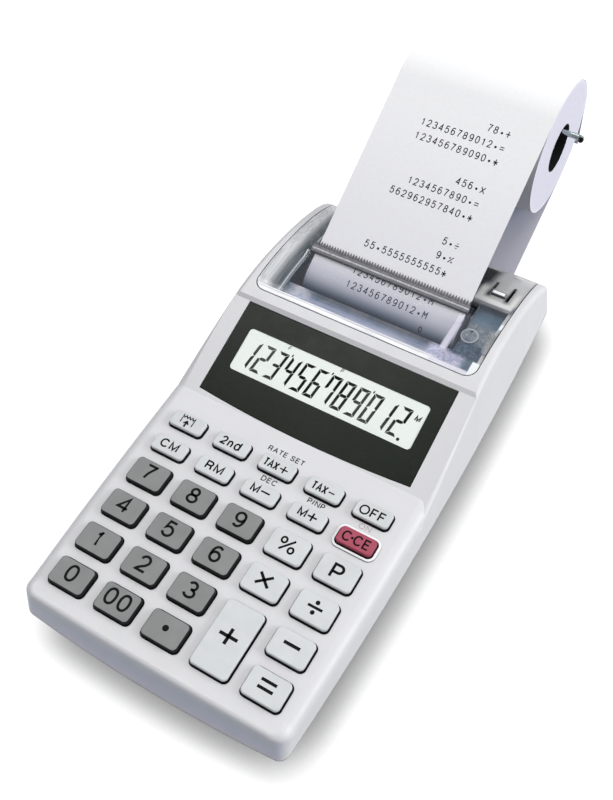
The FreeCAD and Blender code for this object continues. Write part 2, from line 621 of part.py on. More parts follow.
ink = cylx(INK[0], INK[1], INK[2], CX0 + 1.8, CX0 + 8.2).fuse(cylx(INK[0], INK[1], 0.8, CX0 + 0.1, CX0 + 9.9))
keep("ink_roller", ink.removeSplitter())

# ---------------------------- printer cover --------------------------------
CV_X, CV_Y0, CV_Y1 = 41.4, 33.7, 88.85
cover = rr_prism(0, (CV_Y0 + CV_Y1) / 2, 2 * CV_X, CV_Y1 - CV_Y0, 3.9, 10, 60)
cover = cover.fuse(box(-CV_X, CV_X, 80, CV_Y1, 10, 60))
cover = cover.common(side_profile(0, 0, 0, 0.0)).cut(side_profile(0, -1.6, -1.6, 0.0))
# short skirt behind the front edge
cover = cover.fuse(box(-36.5, 36.5, CV_Y0 + 0.6, CV_Y0 + 2.0, 36.2, 38.6))
SL_X0, SL_X1, SL_Y0, SL_Y1 = -32.0, 30.5, 53.0, 62.9
cover = cover.cut(box(SL_X0, SL_X1, SL_Y0, SL_Y1, 10, 60))
# lip that rises over the emerging paper and carries the tear bar
lip = [(51.4, 40.15), (56.0, 41.05), (56.0, 40.2), (53.0, 38.85), (51.4, 38.8)]
cover = cover.fuse(prism(lip, SL_X0 - 0.5, SL_X1 + 0.5))
# thumb catch: a tongue between two slits, with a cross bar
cover = cover.cut(box(30.0, 31.2, 69.4, 78.5, 10, 60)).cut(box(36.6, 37.8, 69.4, 78.5, 10, 60))
cover = cover.fuse(prism([(70.4, 36.2), (70.6, 37.7), (71.3, 38.0), (72.3, 37.7), (72.6, 35.8)], 31.2, 36.6))
keep("printer_cover", cover.removeSplitter())

TEETH = 45
bx0, bx1, by0, by1, tip = -31.4, 28.9, 56.0, 59.1, 60.1
pts = [V(bx0, by0, 30), V(bx1, by0, 30), V(bx1, by1, 30)]
p = (bx1 - bx0) / TEETH
for i in range(TEETH):
    x = bx1 - i * p
    pts += [V(x - p / 2, tip, 30), V(x - p, by1, 30)]
pts.append(pts[0])
bar = Part.Face(Part.makePolygon(pts)).extrude(V(0, 0, 20))
bar = bar.common(prism([(55.5, 40.02), (60.6, 42.18), (60.6, 42.7), (58.6, 42.15), (55.5, 40.95)], -40, 40))
keep("cutter", bar)

# ------------------------------- the paper ---------------------------------
RY, RZ, RR, RC = ROLL
keep("paper_roll", cylx(RY, RZ, RR, PAPER_X0, PAPER_X1).cut(cylx(RY, RZ, RC, PAPER_X0 - 1, PAPER_X1 + 1)))

PAPER_R = PR + 0.15
ROLL_R = RR + 0.12
NIP = 225.0
t = Track(PY + PAPER_R * math.cos(math.radians(NIP)), PZ + PAPER_R * math.sin(math.radians(NIP)), NIP - 90)
t.turn(PAPER_R, -(NIP - 116.8))
t.line(8.0)
bend = 2.0
for i in range(6):
    t2 = Track(t.p[0], t.p[1], t.h)
    t2.turn(60.0, bend)
    h, length = aim(t2.p, (RY, RZ), ROLL_R)
    bend = h - t.h
t.turn(60.0, bend)
t.line(length)
t.turn(ROLL_R, -(t.h + 86.0))
t.line(20.0)
print("tape end", t.p, "bend", round(bend, 2), "tape rise", round(h, 2))
keep("paper_tape", t.band(PAPER_X0, PAPER_X1, PAPER_T))

a26 = math.radians(26.0)
w = Track(RY + ROLL_R * math.sin(a26), RZ - ROLL_R * math.cos(a26), 206.0)
w.line(50.4)
turn = -36.0
for i in range(8):
    w2 = Track(w.p[0], w.p[1], w.h)
    w2.turn(12.0, turn)
    h, length = aim(w2.p, (PY, PZ), PAPER_R)
    turn = h - w.h
w.turn(12.0, turn)
w.line(length)
w.turn(PAPER_R, -(w.h - (NIP - 90)))
print("web end", w.p, "turn", round(turn, 2))
keep("paper_web", w.band(PAPER_X0, PAPER_X1, PAPER_T))

keep("paper_holder", wire_sweep(
    [V(-41.8, HINGE[0], HINGE[1]), V(LEG_X, HINGE[0], HINGE[1]), V(LEG_X, ROD[0], ROD[1]),
     V(35.6, ROD[0], ROD[1]), V(36.0, ROD[0] - 3.2, ROD[1] + 1.9)],
    [1.9, 2.5, 1.5], WIRE_R))

# ------------------------------- export ------------------------------------
ymin = min(s.BoundBox.YMin for s in NODES.values())
ymax = max(s.BoundBox.YMax for s in NODES.values())
print("Y from", round(ymin, 3), "to", round(ymax, 3), "centre", round((ymin + ymax) / 2, 3))
for name, shape in NODES.items():
    s = shape.copy()
    s.translate(V(0, Y_SHIFT, 0))
    ok = s.isValid() and all(q.Volume > 0 for q in s.Solids)
    if not ok or len(s.Solids) < 1:
        print("CHECK", name, s.isValid(), len(s.Solids))
    s.exportStep("parts/%s.step" % name)
    b = s.BoundBox
    print("%-18s solids %d vol %.0f  x %.1f..%.1f y %.1f..%.1f z %.1f..%.1f" % (
        name, len(s.Solids), s.Volume, b.XMin, b.XMax, b.YMin, b.YMax, b.ZMin, b.ZMax))
print(len(NODES), "nodes")
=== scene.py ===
import bpy, bmesh, json, math, random
from mathutils import Vector, Matrix

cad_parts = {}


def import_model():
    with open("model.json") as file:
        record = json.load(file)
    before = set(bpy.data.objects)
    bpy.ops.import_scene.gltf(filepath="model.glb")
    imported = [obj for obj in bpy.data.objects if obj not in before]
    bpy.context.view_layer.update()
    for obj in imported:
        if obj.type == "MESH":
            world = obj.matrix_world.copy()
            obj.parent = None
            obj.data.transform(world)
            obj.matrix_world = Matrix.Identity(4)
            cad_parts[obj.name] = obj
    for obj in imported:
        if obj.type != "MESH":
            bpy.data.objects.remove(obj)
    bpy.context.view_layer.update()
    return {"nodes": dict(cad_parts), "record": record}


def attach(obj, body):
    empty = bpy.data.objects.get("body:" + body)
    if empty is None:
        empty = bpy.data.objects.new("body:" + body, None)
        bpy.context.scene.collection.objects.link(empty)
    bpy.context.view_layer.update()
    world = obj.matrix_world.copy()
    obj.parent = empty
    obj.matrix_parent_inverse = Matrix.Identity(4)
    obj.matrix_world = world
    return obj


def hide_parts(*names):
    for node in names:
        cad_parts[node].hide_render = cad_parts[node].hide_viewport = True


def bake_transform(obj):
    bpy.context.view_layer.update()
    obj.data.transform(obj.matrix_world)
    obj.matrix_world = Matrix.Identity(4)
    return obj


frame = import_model()
NODES = frame["nodes"]
scene = bpy.context.scene
COLL = scene.collection
Y_SHIFT = -30.0


def P(x, y, z):
    """Millimetres in the frame centred on the case, to metres in the row frame."""
    return Vector((x / 1000.0, (y + Y_SHIFT) / 1000.0, z / 1000.0))


def zp(y):
    """Height of the display panel."""
    return 27.75 + 0.285 * (y + 7.0)


# ------------------------------- camera -----------------------------------
def add_camera():
    a, e, r = math.radians(35.0907), math.radians(55.8183), math.radians(-5.3918)
    back = Vector((math.sin(a) * math.cos(e), -math.cos(a) * math.cos(e), math.sin(e)))
    right0 = Vector((math.cos(a), math.sin(a), 0.0))
    up0 = back.cross(right0)
    c, s = math.cos(r), math.sin(r)
    right, up = right0 * c + up0 * s, up0 * c - right0 * s
    m = Matrix((right, up, back)).transposed().to_4x4()
    m.translation = Vector((0.1013568, -0.1741445, 0.3013720))
    cam = bpy.data.cameras.new("camera")
    cam.sensor_width = 36.0
    cam.sensor_fit = "AUTO"
    cam.lens = 998.0525 / 800.0 * 36.0
    cam.clip_start, cam.clip_end = 0.01, 20.0
    ob = bpy.data.objects.new("camera", cam)
    COLL.objects.link(ob)
    ob.matrix_world = m
    scene.camera = ob


add_camera()


# ------------------------------ materials ---------------------------------
class M:
    """Small helper that builds a node material."""

    def __init__(self, name):
        self.m = bpy.data.materials.new(name)
        self.m.use_nodes = True
        self.t = self.m.node_tree
        self.n = self.t.nodes
        self.n.clear()
        self.out = self.n.new("ShaderNodeOutputMaterial")
        self.b = self.n.new("ShaderNodeBsdfPrincipled")
        self.t.links.new(self.b.outputs[0], self.out.inputs[0])
        self._co = None

    def link(self, a, b):
        self.t.links.new(a, b)

    def co(self):
        if self._co is None:
            self._co = self.n.new("ShaderNodeTexCoord").outputs["Object"]
        return self._co

    def set(self, **kw):
        names = {"base": "Base Color", "rough": "Roughness", "metal": "Metallic", "ior": "IOR",
                 "spec": "Specular IOR Level", "coat": "Coat Weight", "coat_rough": "Coat Roughness",
                 "alpha": "Alpha", "trans": "Transmission Weight", "sheen": "Sheen Weight",
                 "sss": "Subsurface Weight", "sss_scale": "Subsurface Scale",
                 "aniso": "Anisotropic"}
        for k, v in kw.items():
            if k == "base":
                v = (v[0], v[1], v[2], 1.0)
            self.b.inputs[names[k]].default_value = v
        return self

    def noise(self, scale, detail=3.0, rough=0.55, vec=None):
        t = self.n.new("ShaderNodeTexNoise")
        t.inputs["Scale"].default_value = scale
        t.inputs["Detail"].default_value = detail
        t.inputs["Roughness"].default_value = rough
        self.link(vec or self.co(), t.inputs["Vector"])
        return t.outputs["Fac"]

    def ramp(self, fac, stops, interp="LINEAR"):
        r = self.n.new("ShaderNodeValToRGB")
        r.color_ramp.interpolation = interp
        el = r.color_ramp.elements
        while len(el) < len(stops):
            el.new(0.5)
        for e, (p, c) in zip(el, stops):
            e.position = p
            e.color = (c[0], c[1], c[2], 1.0) if hasattr(c, "__len__") else (c, c, c, 1.0)
        self.link(fac, r.inputs[0])
        return r.outputs[0]

    def maprange(self, v, a, b, c=0.0, d=1.0, smooth=True):
        r = self.n.new("ShaderNodeMapRange")
        r.interpolation_type = "SMOOTHSTEP" if smooth else "LINEAR"
        for i, x in zip((1, 2, 3, 4), (a, b, c, d)):
            r.inputs[i].default_value = x
        self.link(v, r.inputs[0])
        return r.outputs[0]

    def mix(self, fac, a, b):
        x = self.n.new("ShaderNodeMix")
        x.data_type = "RGBA"
        for sock, v in ((x.inputs[0], fac), (x.inputs[6], a), (x.inputs[7], b)):
            if hasattr(v, "is_output"):
                self.link(v, sock)
            elif hasattr(v, "__len__"):
                sock.default_value = (v[0], v[1], v[2], 1.0)
            else:
                sock.default_value = v
        return x.outputs[2]

    def math(self, op, a, b=0.0, clamp=False):
        x = self.n.new("ShaderNodeMath")
        x.operation = op
        x.use_clamp = clamp
        for i, v in enumerate((a, b)):
            if hasattr(v, "is_output"):
                self.link(v, x.inputs[i])
            else:
                x.inputs[i].default_value = v
        return x.outputs[0]

    def axis(self, i, src=None):
        s = self.n.new("ShaderNodeSeparateXYZ")
        self.link(src or self.co(), s.inputs[0])
        return s.outputs[i]

    def normal_z(self):
        g = self.n.new("ShaderNodeNewGeometry")
        return self.axis(2, g.outputs["Normal"])

    def bump(self, height, strength=0.2, dist=0.0001):
        b = self.n.new("ShaderNodeBump")
        b.inputs["Strength"].default_value = strength
        b.inputs["Distance"].default_value = dist
        self.link(height, b.inputs["Height"])
        self.link(b.outputs[0], self.b.inputs["Normal"])
        return b

    def mm(self, i):
        """Coordinate i in millimetres, in the frame centred on the case."""
        v = self.math("MULTIPLY", self.axis(i), 1000.0)
        return self.math("SUBTRACT", v, Y_SHIFT) if i == 1 else v

    def band(self, v, a, b, soft):
        """1 between a and b, 0 outside, with soft edges."""
        return self.math("MULTIPLY", self.maprange(v, a - soft, a + soft, 0.0, 1.0),
                         self.maprange(v, b - soft, b + soft, 1.0, 0.0))

    def area(self, x, y, x0, x1, y0, y1, soft=0.3):
        return self.math("MULTIPLY", self.band(x, x0, x1, soft), self.band(y, y0, y1, soft))

    def over(self, state, mask, col, alpha):
        """Lay a colour and a density over (colour, alpha) where the mask is 1."""
        c, a = state
        f = self.n.new("ShaderNodeMix")
        f.data_type = "FLOAT"
        for sock, v in ((f.inputs[0], mask), (f.inputs[2], a), (f.inputs[3], alpha)):
            if hasattr(v, "is_output"):
                self.link(v, sock)
            else:
                sock.default_value = v
        return self.mix(mask, c, col), f.outputs[0]

    def streaks(self, axis, fine=1800.0, along=60.0):
        mp = self.n.new("ShaderNodeMapping")
        mp.inputs["Scale"].default_value = [along if i == axis else fine for i in range(3)]
        self.link(self.co(), mp.inputs["Vector"])
        return self.noise(1.0, 2.0, 0.5, mp.outputs[0])

    def color(self, sock):
        self.link(sock, self.b.inputs["Base Color"])
        return self

    def roughness(self, sock):
        self.link(sock, self.b.inputs["Roughness"])
        return self


def plastic(name, col, rough=0.45, var=0.03, grain=2600.0, bump=0.10, spec=0.5, coat=0.0):
    """Moulded plastic: fine spark-eroded grain, faint cloudiness, a little change of gloss."""
    m = M(name).set(rough=rough, spec=spec, coat=coat)
    hi = [min(1.0, c * (1 + var)) for c in col]
    lo = [c * (1 - var) for c in col]
    m.color(m.ramp(m.noise(60.0, 4.0), [(0.35, lo), (0.65, hi)]))
    m.roughness(m.ramp(m.noise(180.0, 3.0), [(0.3, rough - 0.05), (0.7, rough + 0.05)]))
    m.bump(m.noise(grain, 2.0, 0.6), bump, 0.00004)
    return m


MAT = {}


def case_material():
    m = M("case_plastic").set(spec=0.45)
    col = (0.592, 0.592, 0.606)
    a = m.ramp(m.noise(45.0, 4.0), [(0.35, [c * 0.985 for c in col]), (0.65, [c * 1.015 for c in col])])
    x, y, z = m.mm(0), m.mm(1), m.mm(2)
    # painted shade in the parting groove, and on the face of the step behind the display
    groove = m.math("MULTIPLY", m.band(z, 15.9, 16.38, 0.06), m.maprange(y, -90.0, -78.0, 0.45, 0.25))
    a = m.mix(groove, a, (0.10, 0.10, 0.12))
    g = m.n.new("ShaderNodeNewGeometry")
    nx, ny, nz = [m.axis(i, g.outputs["Normal"]) for i in range(3)]
    # painted shade: the left shoulder is darkened where it turns away from the light
    turn = m.math("MULTIPLY", m.maprange(nx, -0.12, -0.62), m.maprange(y, -12.0, 30.0, 0.35, 1.0))
    a = m.mix(m.math("MULTIPLY", turn, 0.8), a, (0.40, 0.40, 0.43))
    # painted shade: the front face is painted darker and cooler, darkest half-way up
    front = m.math("MULTIPLY", m.maprange(ny, -0.55, -0.9), m.maprange(y, -85.0, -89.0))
    front_painted_shade = m.ramp(m.maprange(z, 16.2, 26.5, 0.0, 1.0, False),
                  [(0.0, (0.600, 0.585, 0.665)), (0.35, (0.535, 0.560, 0.660)), (0.75, (0.480, 0.520, 0.600)), (1.0, (0.560, 0.575, 0.610))])
    a = m.mix(front, a, front_painted_shade)
    # the guard round the clear key: white on top, its walls painted in shade
    ring = m.math("MULTIPLY", m.area(x, y, 26.6, 42.0, -34.1, -25.3, 0.05), m.maprange(z, 27.78, 27.84))
    a = m.mix(ring, a, m.mix(m.maprange(nz, 0.45, 0.85), (0.16, 0.165, 0.17), (0.80, 0.80, 0.81)))
    # painted shade on the face of the step behind the display, lighter towards the right
    step = m.math("MULTIPLY", m.maprange(ny, -0.45, -0.75), m.area(x, y, -45.0, 45.0, 27.8, 30.6, 0.1))
    step = m.math("MULTIPLY", step, m.maprange(z, 35.5, 36.0))
    a = m.mix(step, a, m.mix(m.maprange(x, -15.0, 38.0), (0.24, 0.245, 0.26), (0.47, 0.47, 0.48)))
    # painted shade: inner walls round the printer, below the ledges of the cover, painted almost black
    q = m.math("SUBTRACT", y, 46.0)
    h = m.math("ADD", z, m.math("MULTIPLY", m.math("MULTIPLY", q, q), 0.0062))
    inside_shade = m.math("MULTIPLY", m.area(x, y, -41.55, 41.55, 33.6, 89.0, 0.05), m.maprange(h, 36.9, 37.3, 1.0, 0.0))
    inside_shade = m.math("MULTIPLY", inside_shade, m.maprange(z, 17.0, 17.4))
    # and the side walls as far as they face the printer, painted into the same shade
    facing_wall_shade = m.math("MULTIPLY", m.maprange(m.math("MULTIPLY", x, nx), -2.0, -12.0),
                    m.area(x, y, -48.0, 48.0, 31.5, 91.0, 0.2))
    inside_shade = m.math("MAXIMUM", inside_shade, m.math("MULTIPLY", facing_wall_shade, m.maprange(h, 37.2, 37.6, 1.0, 0.0)))
    a = m.mix(inside_shade, a, (0.020, 0.034, 0.046))
    m.color(a)
    m.roughness(m.ramp(m.noise(220.0, 3.0), [(0.3, 0.36), (0.7, 0.46)]))
    m.bump(m.noise(3000.0, 2.0, 0.6), 0.12, 0.00003)
    return m


def key_material(name, top, side, z_lo, z_hi, rough=0.36):
    """Key cap: the top in its colour, the skirt painted dark below a soft line, as the shade of the gap round the key.
    """
    m = M(name).set(spec=0.26)
    a = m.ramp(m.noise(120.0, 4.0), [(0.35, [c * 0.96 for c in top]), (0.65, [min(1, c * 1.04) for c in top])])
    z = m.axis(2)
    # painted shade: below z_lo..z_hi the skirt takes the dark side colour, and is rougher
    dark = m.maprange(z, z_lo / 1000.0, z_hi / 1000.0, 1.0, 0.0)
    a = m.mix(dark, a, side)
    m.color(a)
    gloss = m.ramp(m.noise(260.0, 3.0), [(0.3, rough - 0.05), (0.7, rough + 0.06)])
    m.roughness(m.math("ADD", gloss, m.math("MULTIPLY", dark, 0.3)))
    m.bump(m.noise(2400.0, 2.0, 0.6), 0.10, 0.00003)
    return m


def grey_key_material():
    m = M("key_grey").set(spec=0.28)
    top = (0.196, 0.203, 0.201)
    n1 = m.noise(70.0, 5.0, 0.6)
    a = m.ramp(n1, [(0.33, [c * 0.93 for c in top]), (0.67, [c * 1.07 for c in top])])
    # painted shade: faces that turn away from the top are painted almost black, as the shade of the side walls and the
    # gap round the key
    side = m.maprange(m.normal_z(), 0.74, 0.975, 1.0, 0.0)
    a = m.mix(side, a, (0.0014, 0.0016, 0.002))
    m.color(a)
    gloss = m.ramp(m.noise(260.0, 3.0), [(0.3, 0.38), (0.7, 0.50)])
    m.roughness(m.math("ADD", gloss, m.math("MULTIPLY", side, 0.25)))
    m.bump(m.noise(2000.0, 2.0, 0.6), 0.14, 0.00003)
    return m


def brushed(name, col, rough=0.32, axis="X", dark_end=None):
    m = M(name).set(metal=1.0)
    mp = m.n.new("ShaderNodeMapping")
    sc = {"X": (20.0, 4000.0, 4000.0), "Y": (4000.0, 20.0, 4000.0), "Z": (4000.0, 4000.0, 20.0)}[axis]
    mp.inputs["Scale"].default_value = sc
    m.link(m.co(), mp.inputs["Vector"])
    n = m.noise(1.0, 2.0, 0.5, mp.outputs[0])
    a = m.ramp(n, [(0.3, [c * 0.85 for c in col]), (0.7, [min(1, c * 1.1) for c in col])])
    if dark_end is not None:
        a = m.mix(m.maprange(m.mm(0), dark_end, dark_end + 0.6), a, (0.02, 0.022, 0.024))
    m.color(a)
    m.roughness(m.ramp(n, [(0.3, rough - 0.08), (0.7, rough + 0.08)]))
    m.bump(n, 0.08, 0.00002)
    return m


def paper_material(name, kind="tape"):
    m = M(name).set(spec=0.2)
    fib = m.noise(900.0, 4.0, 0.65)
    base = {"tape": (0.735, 0.735, 0.765), "roll": (0.735, 0.735, 0.765), "web": (0.42, 0.47, 0.58)}[kind]
    col = m.ramp(fib, [(0.3, [c * 0.98 for c in base]), (0.7, [c * 1.02 for c in base])])
    x, y, z = m.mm(0), m.mm(1), m.mm(2)
    h = fib
    if kind == "tape":
        # painted shade where the paper comes up out of the shade of the printer, and painted light past the tear bar,
        # growing towards the roll
        shade_ = m.maprange(z, 31.2, 40.5)
        tone = m.ramp(shade_, [(0.0, (0.012, 0.020, 0.035)), (0.12, (0.09, 0.13, 0.19)), (0.30, (0.30, 0.34, 0.41)),
                               (0.50, (0.53, 0.55, 0.61)), (0.78, (0.72, 0.735, 0.79)), (1.0, (1.0, 1.0, 1.0))])
        past_bar_light = m.maprange(y, 58.5, 59.5)
        tone = m.mix(past_bar_light, tone, m.mix(m.maprange(y, 62.0, 112.0), (1.01, 1.01, 1.01), (1.11, 1.11, 1.08)))
        mul = m.n.new("ShaderNodeMix")
        mul.data_type = "RGBA"
        mul.blend_type = "MULTIPLY"
        mul.inputs[0].default_value = 1.0
        m.link(col, mul.inputs[6])
        m.link(tone, mul.inputs[7])
        col = mul.outputs[2]
    # painted shade: the web is paper in shade, so its base colour is a dark blue-grey; painted lighter towards its
    # right edge and its lower end
    if kind == "web":
        col = m.mix(m.maprange(x, 16.0, 28.0), col, (0.62, 0.61, 0.70))
        col = m.mix(m.maprange(z, 26.0, 15.0), col, (0.60, 0.60, 0.68))
    if kind == "roll":
        # wound layers: fine rings about the roll's axis, on the end faces only
        v = m.math("SUBTRACT", y, 130.0)
        w = m.math("SUBTRACT", z, 53.0)
        r = m.math("SQRT", m.math("ADD", m.math("MULTIPLY", v, v), m.math("MULTIPLY", w, w)))
        wave = m.math("SINE", m.math("MULTIPLY", r, 2 * math.pi / 0.45))
        wave = m.math("ADD", m.math("MULTIPLY", wave, 0.5), m.math("MULTIPLY", m.noise(400.0, 2.0), 0.8))
        g = m.n.new("ShaderNodeNewGeometry")
        nx = m.math("ABSOLUTE", m.axis(0, g.outputs["Normal"]))
        side = m.maprange(nx, 0.6, 0.9)
        broad = m.math("SINE", m.math("MULTIPLY", r, 2 * math.pi / 3.1))
        tone = m.maprange(m.math("ADD", wave, m.math("MULTIPLY", broad, 0.25)), -1.0, 1.6, 0.0, 1.0)
        ring = m.ramp(tone, [(0.0, (0.665, 0.655, 0.745)), (1.0, (0.735, 0.725, 0.81))])
        # painted highlight: the outer rim of the end faces is painted lighter
        rim = m.maprange(r, 22.6, 23.9)
        ring = m.mix(rim, ring, (0.80, 0.80, 0.86))
        col = m.mix(side, col, ring)
        # painted shade: the wall of the core, down in the hole, is painted almost black
        col = m.mix(m.maprange(r, 8.65, 8.95, 1.0, 0.0), col, (0.008, 0.008, 0.009))
        h = m.math("ADD", m.math("MULTIPLY", wave, side), fib)
    m.color(col)
    m.b.inputs["Roughness"].default_value = 0.82
    m.bump(h, 0.15, 0.00003)
    return m


def frame_material():
    """Moulded printer chassis: dark blue-grey, paler along the front bar, speckled over the gears, with painted shade
    towards the bar's rear edge and low down.
    """
    m = M("frame_plastic").set(spec=0.35)
    x, y, z = m.mm(0), m.mm(1), m.mm(2)
    n1, n2 = m.noise(260.0, 4.0, 0.6), m.noise(900.0, 3.0, 0.7)
    col = m.ramp(n1, [(0.35, (0.072, 0.128, 0.178)), (0.65, (0.105, 0.165, 0.222))])
    # painted shade: the front bar is pale at its front and painted darker towards its rear edge and the gap behind it
    bar = m.ramp(m.maprange(y, 36.4, 44.6, 0.0, 1.0, False),
                 [(0.0, (0.60, 0.60, 0.65)), (0.22, (0.44, 0.44, 0.53)), (0.45, (0.27, 0.30, 0.40)),
                  (0.66, (0.085, 0.125, 0.20)), (0.82, (0.012, 0.020, 0.034)), (1.0, (0.004, 0.006, 0.010))])
    lines = m.ramp(m.streaks(0, 2400.0, 45.0), [(0.52, (1.0, 1.0, 1.0)), (0.60, (0.35, 0.37, 0.45))])
    mul = m.n.new("ShaderNodeMix")
    mul.data_type = "RGBA"
    mul.blend_type = "MULTIPLY"
    mul.inputs[0].default_value = 0.75
    m.link(bar, mul.inputs[6])
    m.link(lines, mul.inputs[7])
    bar = mul.outputs[2]
    blot = m.ramp(m.noise(180.0, 3.0), [(0.42, (0.28, 0.36, 0.50)), (0.62, (0.75, 0.74, 0.82))])
    bar = m.mix(m.maprange(x, -30.0, -20.0, 0.65, 0.10), bar, blot)
    on_bar = m.area(x, y, -40.0, 29.0, 30.0, 44.6, 0.3)
    col = m.mix(on_bar, col, bar)
    # right-hand end: pale lilac, then a dark patch, a warm grey one and the dark roof
    sp = m.ramp(n2, [(0.44, (0.0, 0.0, 0.0)), (0.60, (1.0, 1.0, 1.0))])
    lil = m.math("MULTIPLY", m.area(x, y, 22.0, 34.5, 34.0, 44.0, 1.4), 0.95)
    col = m.mix(lil, col, m.mix(sp, (0.36, 0.38, 0.53), (0.62, 0.60, 0.76)))
    dark = m.area(x, y, 28.8, 41.0, 43.2, 49.8, 1.1)
    col = m.mix(dark, col, m.mix(sp, (0.008, 0.028, 0.055), (0.045, 0.10, 0.17)))
    warm = m.math("MULTIPLY", m.area(x, y, 29.0, 41.0, 50.5, 57.5, 1.6), 0.75)
    col = m.mix(warm, col, m.mix(sp, (0.13, 0.16, 0.19), (0.34, 0.34, 0.35)))
    v, w = m.math("SUBTRACT", x, 32.2), m.math("SUBTRACT", y, 51.8)
    r = m.math("SQRT", m.math("ADD", m.math("MULTIPLY", v, v), m.math("MULTIPLY", w, w)))
    col = m.mix(m.band(r, 2.55, 3.05, 0.15), col, (0.40, 0.43, 0.47))
    # painted shade: the left side wall of the frame, below its top edge, is painted almost black
    left_plate_shade = m.math("MULTIPLY", m.maprange(x, -33.4, -34.1), m.maprange(z, 34.5, 34.0, 0.0, 1.0))
    col = m.mix(left_plate_shade, col, (0.014, 0.030, 0.042))
    # painted shade: the whole frame is painted almost black low down, under the cover
    col = m.mix(m.maprange(z, 30.6, 33.0, 1.0, 0.0), col, (0.006, 0.009, 0.014))
    m.color(col)
    m.roughness(m.ramp(n1, [(0.3, 0.34), (0.7, 0.5)]))
    m.bump(n2, 0.35, 0.00012)
    return m


def cover_material():
    """Clear plastic, clouded at its thick edges and on the moulded thumb catch."""
    m = M("clear_cover").set(spec=0.5, ior=1.5)
    x, y = m.mm(0), m.mm(1)
    lw = m.n.new("ShaderNodeLayerWeight")
    lw.inputs["Blend"].default_value = 0.35
    a = m.maprange(lw.outputs["Facing"], 0.35, 1.0, 0.035, 0.40)
    st = (m.ramp(m.noise(35.0, 3.0), [(0.3, (0.60, 0.62, 0.72)), (0.7, (0.68, 0.69, 0.78))]), a)
    sy, sx = m.streaks(1), m.streaks(0)
    # left wall: painted light, then falling into painted shade, with one bright line of painted highlight
    lx = m.maprange(x, -41.4, -30.4, 0.0, 1.0, False)
    left_wall_light_shade = m.ramp(lx, [(0.0, (0.60, 0.61, 0.63)), (0.30, (0.66, 0.67, 0.69)), (0.42, (0.40, 0.42, 0.44)),
                         (0.58, (0.13, 0.145, 0.16)), (0.78, (0.08, 0.105, 0.13)), (0.83, (0.62, 0.65, 0.68)),
                         (0.87, (0.10, 0.14, 0.17)), (1.0, (0.02, 0.05, 0.07))])
    left_wall_light_shade = m.mix(m.math("MULTIPLY", m.ramp(sy, [(0.45, 0.0), (0.62, 1.0)]), 0.45), left_wall_light_shade, (0.30, 0.32, 0.34))
    left_a = m.ramp(lx, [(0.0, 0.9), (0.34, 0.88), (0.5, 0.74), (0.75, 0.62), (0.83, 0.85), (0.88, 0.25), (1.0, 0.12)])
    st = m.over(st, m.math("MULTIPLY", m.maprange(x, -30.2, -30.8), m.maprange(y, 34.4, 36.5)), left_wall_light_shade, left_a)
    # block at the left end of the tear bar
    st = m.over(st, m.area(x, y, -34.4, -31.5, 55.9, 59.3, 0.7), (0.075, 0.095, 0.115), 0.70)
    # front wall: painted highlight, a bright strip with streaks and one darker line, with a paler stretch on the right
    front_wall_highlight = m.mix(m.ramp(sx, [(0.50, 0.0), (0.60, 1.0)]), (0.74, 0.745, 0.765), (0.55, 0.555, 0.60))
    front_wall_highlight = m.mix(m.band(y, 35.15, 35.40, 0.10), front_wall_highlight, (0.33, 0.34, 0.37))
    st = m.over(st, m.math("MULTIPLY", m.maprange(y, 36.1, 35.5), m.maprange(x, 29.0, 25.0)), front_wall_highlight, 0.93)
    st = m.over(st, m.math("MULTIPLY", m.maprange(y, 35.6, 34.9), m.maprange(x, 24.0, 27.0)), (0.66, 0.66, 0.72), 0.80)
    # rib beside the paper
    st = m.over(st, m.area(x, y, 26.7, 28.7, 39.5, 54.8, 0.35), (0.62, 0.61, 0.71), 0.62)
    # pale tabs on the right
    st = m.over(st, m.area(x, y, 38.9, 42.0, 33.0, 39.3, 0.12), (0.72, 0.75, 0.76), 0.95)
    st = m.over(st, m.area(x, y, 40.5, 42.0, 55.3, 58.2, 0.15), (0.72, 0.76, 0.77), 0.95)
    st = m.over(st, m.area(x, y, 39.6, 42.0, 44.0, 54.0, 0.6), (0.27, 0.28, 0.28), 0.45)
    # thumb catch: a frosted pad with a lighter rim, two arms painted dark as the shade in its slots, and a bright bar
    # of painted highlight on its fold
    big = m.area(x, y, 22.5, 42.0, 68.0, 92.0, 1.6)
    st = m.over(st, big, m.mix(m.maprange(y, 70.0, 88.0), (0.43, 0.43, 0.42), (0.56, 0.56, 0.57)), m.math("MULTIPLY", m.maprange(x, 27.0, 31.5), 0.84))
    rim = m.math("SUBTRACT", m.area(x, y, 26.9, 40.6, 65.6, 84.0, 0.7), m.area(x, y, 29.4, 39.0, 68.4, 81.0, 0.9), True)
    rim = m.math("MULTIPLY", rim, m.maprange(y, 78.0, 72.0))
    st = m.over(st, m.math("MULTIPLY", rim, 0.9), (0.66, 0.665, 0.64), 0.93)
    for x0, x1, y0, y1 in ((29.9, 31.3, 69.3, 78.6), (36.5, 37.9, 68.2, 78.6)):
        slot_shade = m.area(x, y, x0, x1, y0, y1, 1.05)
        st = m.over(st, slot_shade, m.mix(m.maprange(y, 69.0, 77.0), (0.125, 0.130, 0.132), (0.33, 0.33, 0.33)), 0.80)
    # painted shade round the fold, then the painted highlight on it
    st = m.over(st, m.area(x, y, 31.1, 36.2, 70.1, 72.6, 0.35), (0.10, 0.10, 0.105), 0.90)
    st = m.over(st, m.area(x, y, 31.5, 35.9, 70.8, 72.0, 0.12), (0.93, 0.93, 0.95), 1.0)
    m.color(st[0])
    m.link(st[1], m.b.inputs["Alpha"])
    m.roughness(m.ramp(m.noise(150.0, 3.0), [(0.3, 0.07), (0.7, 0.14)]))
    m.bump(m.noise(90.0, 2.0), 0.06, 0.0002)
    return m


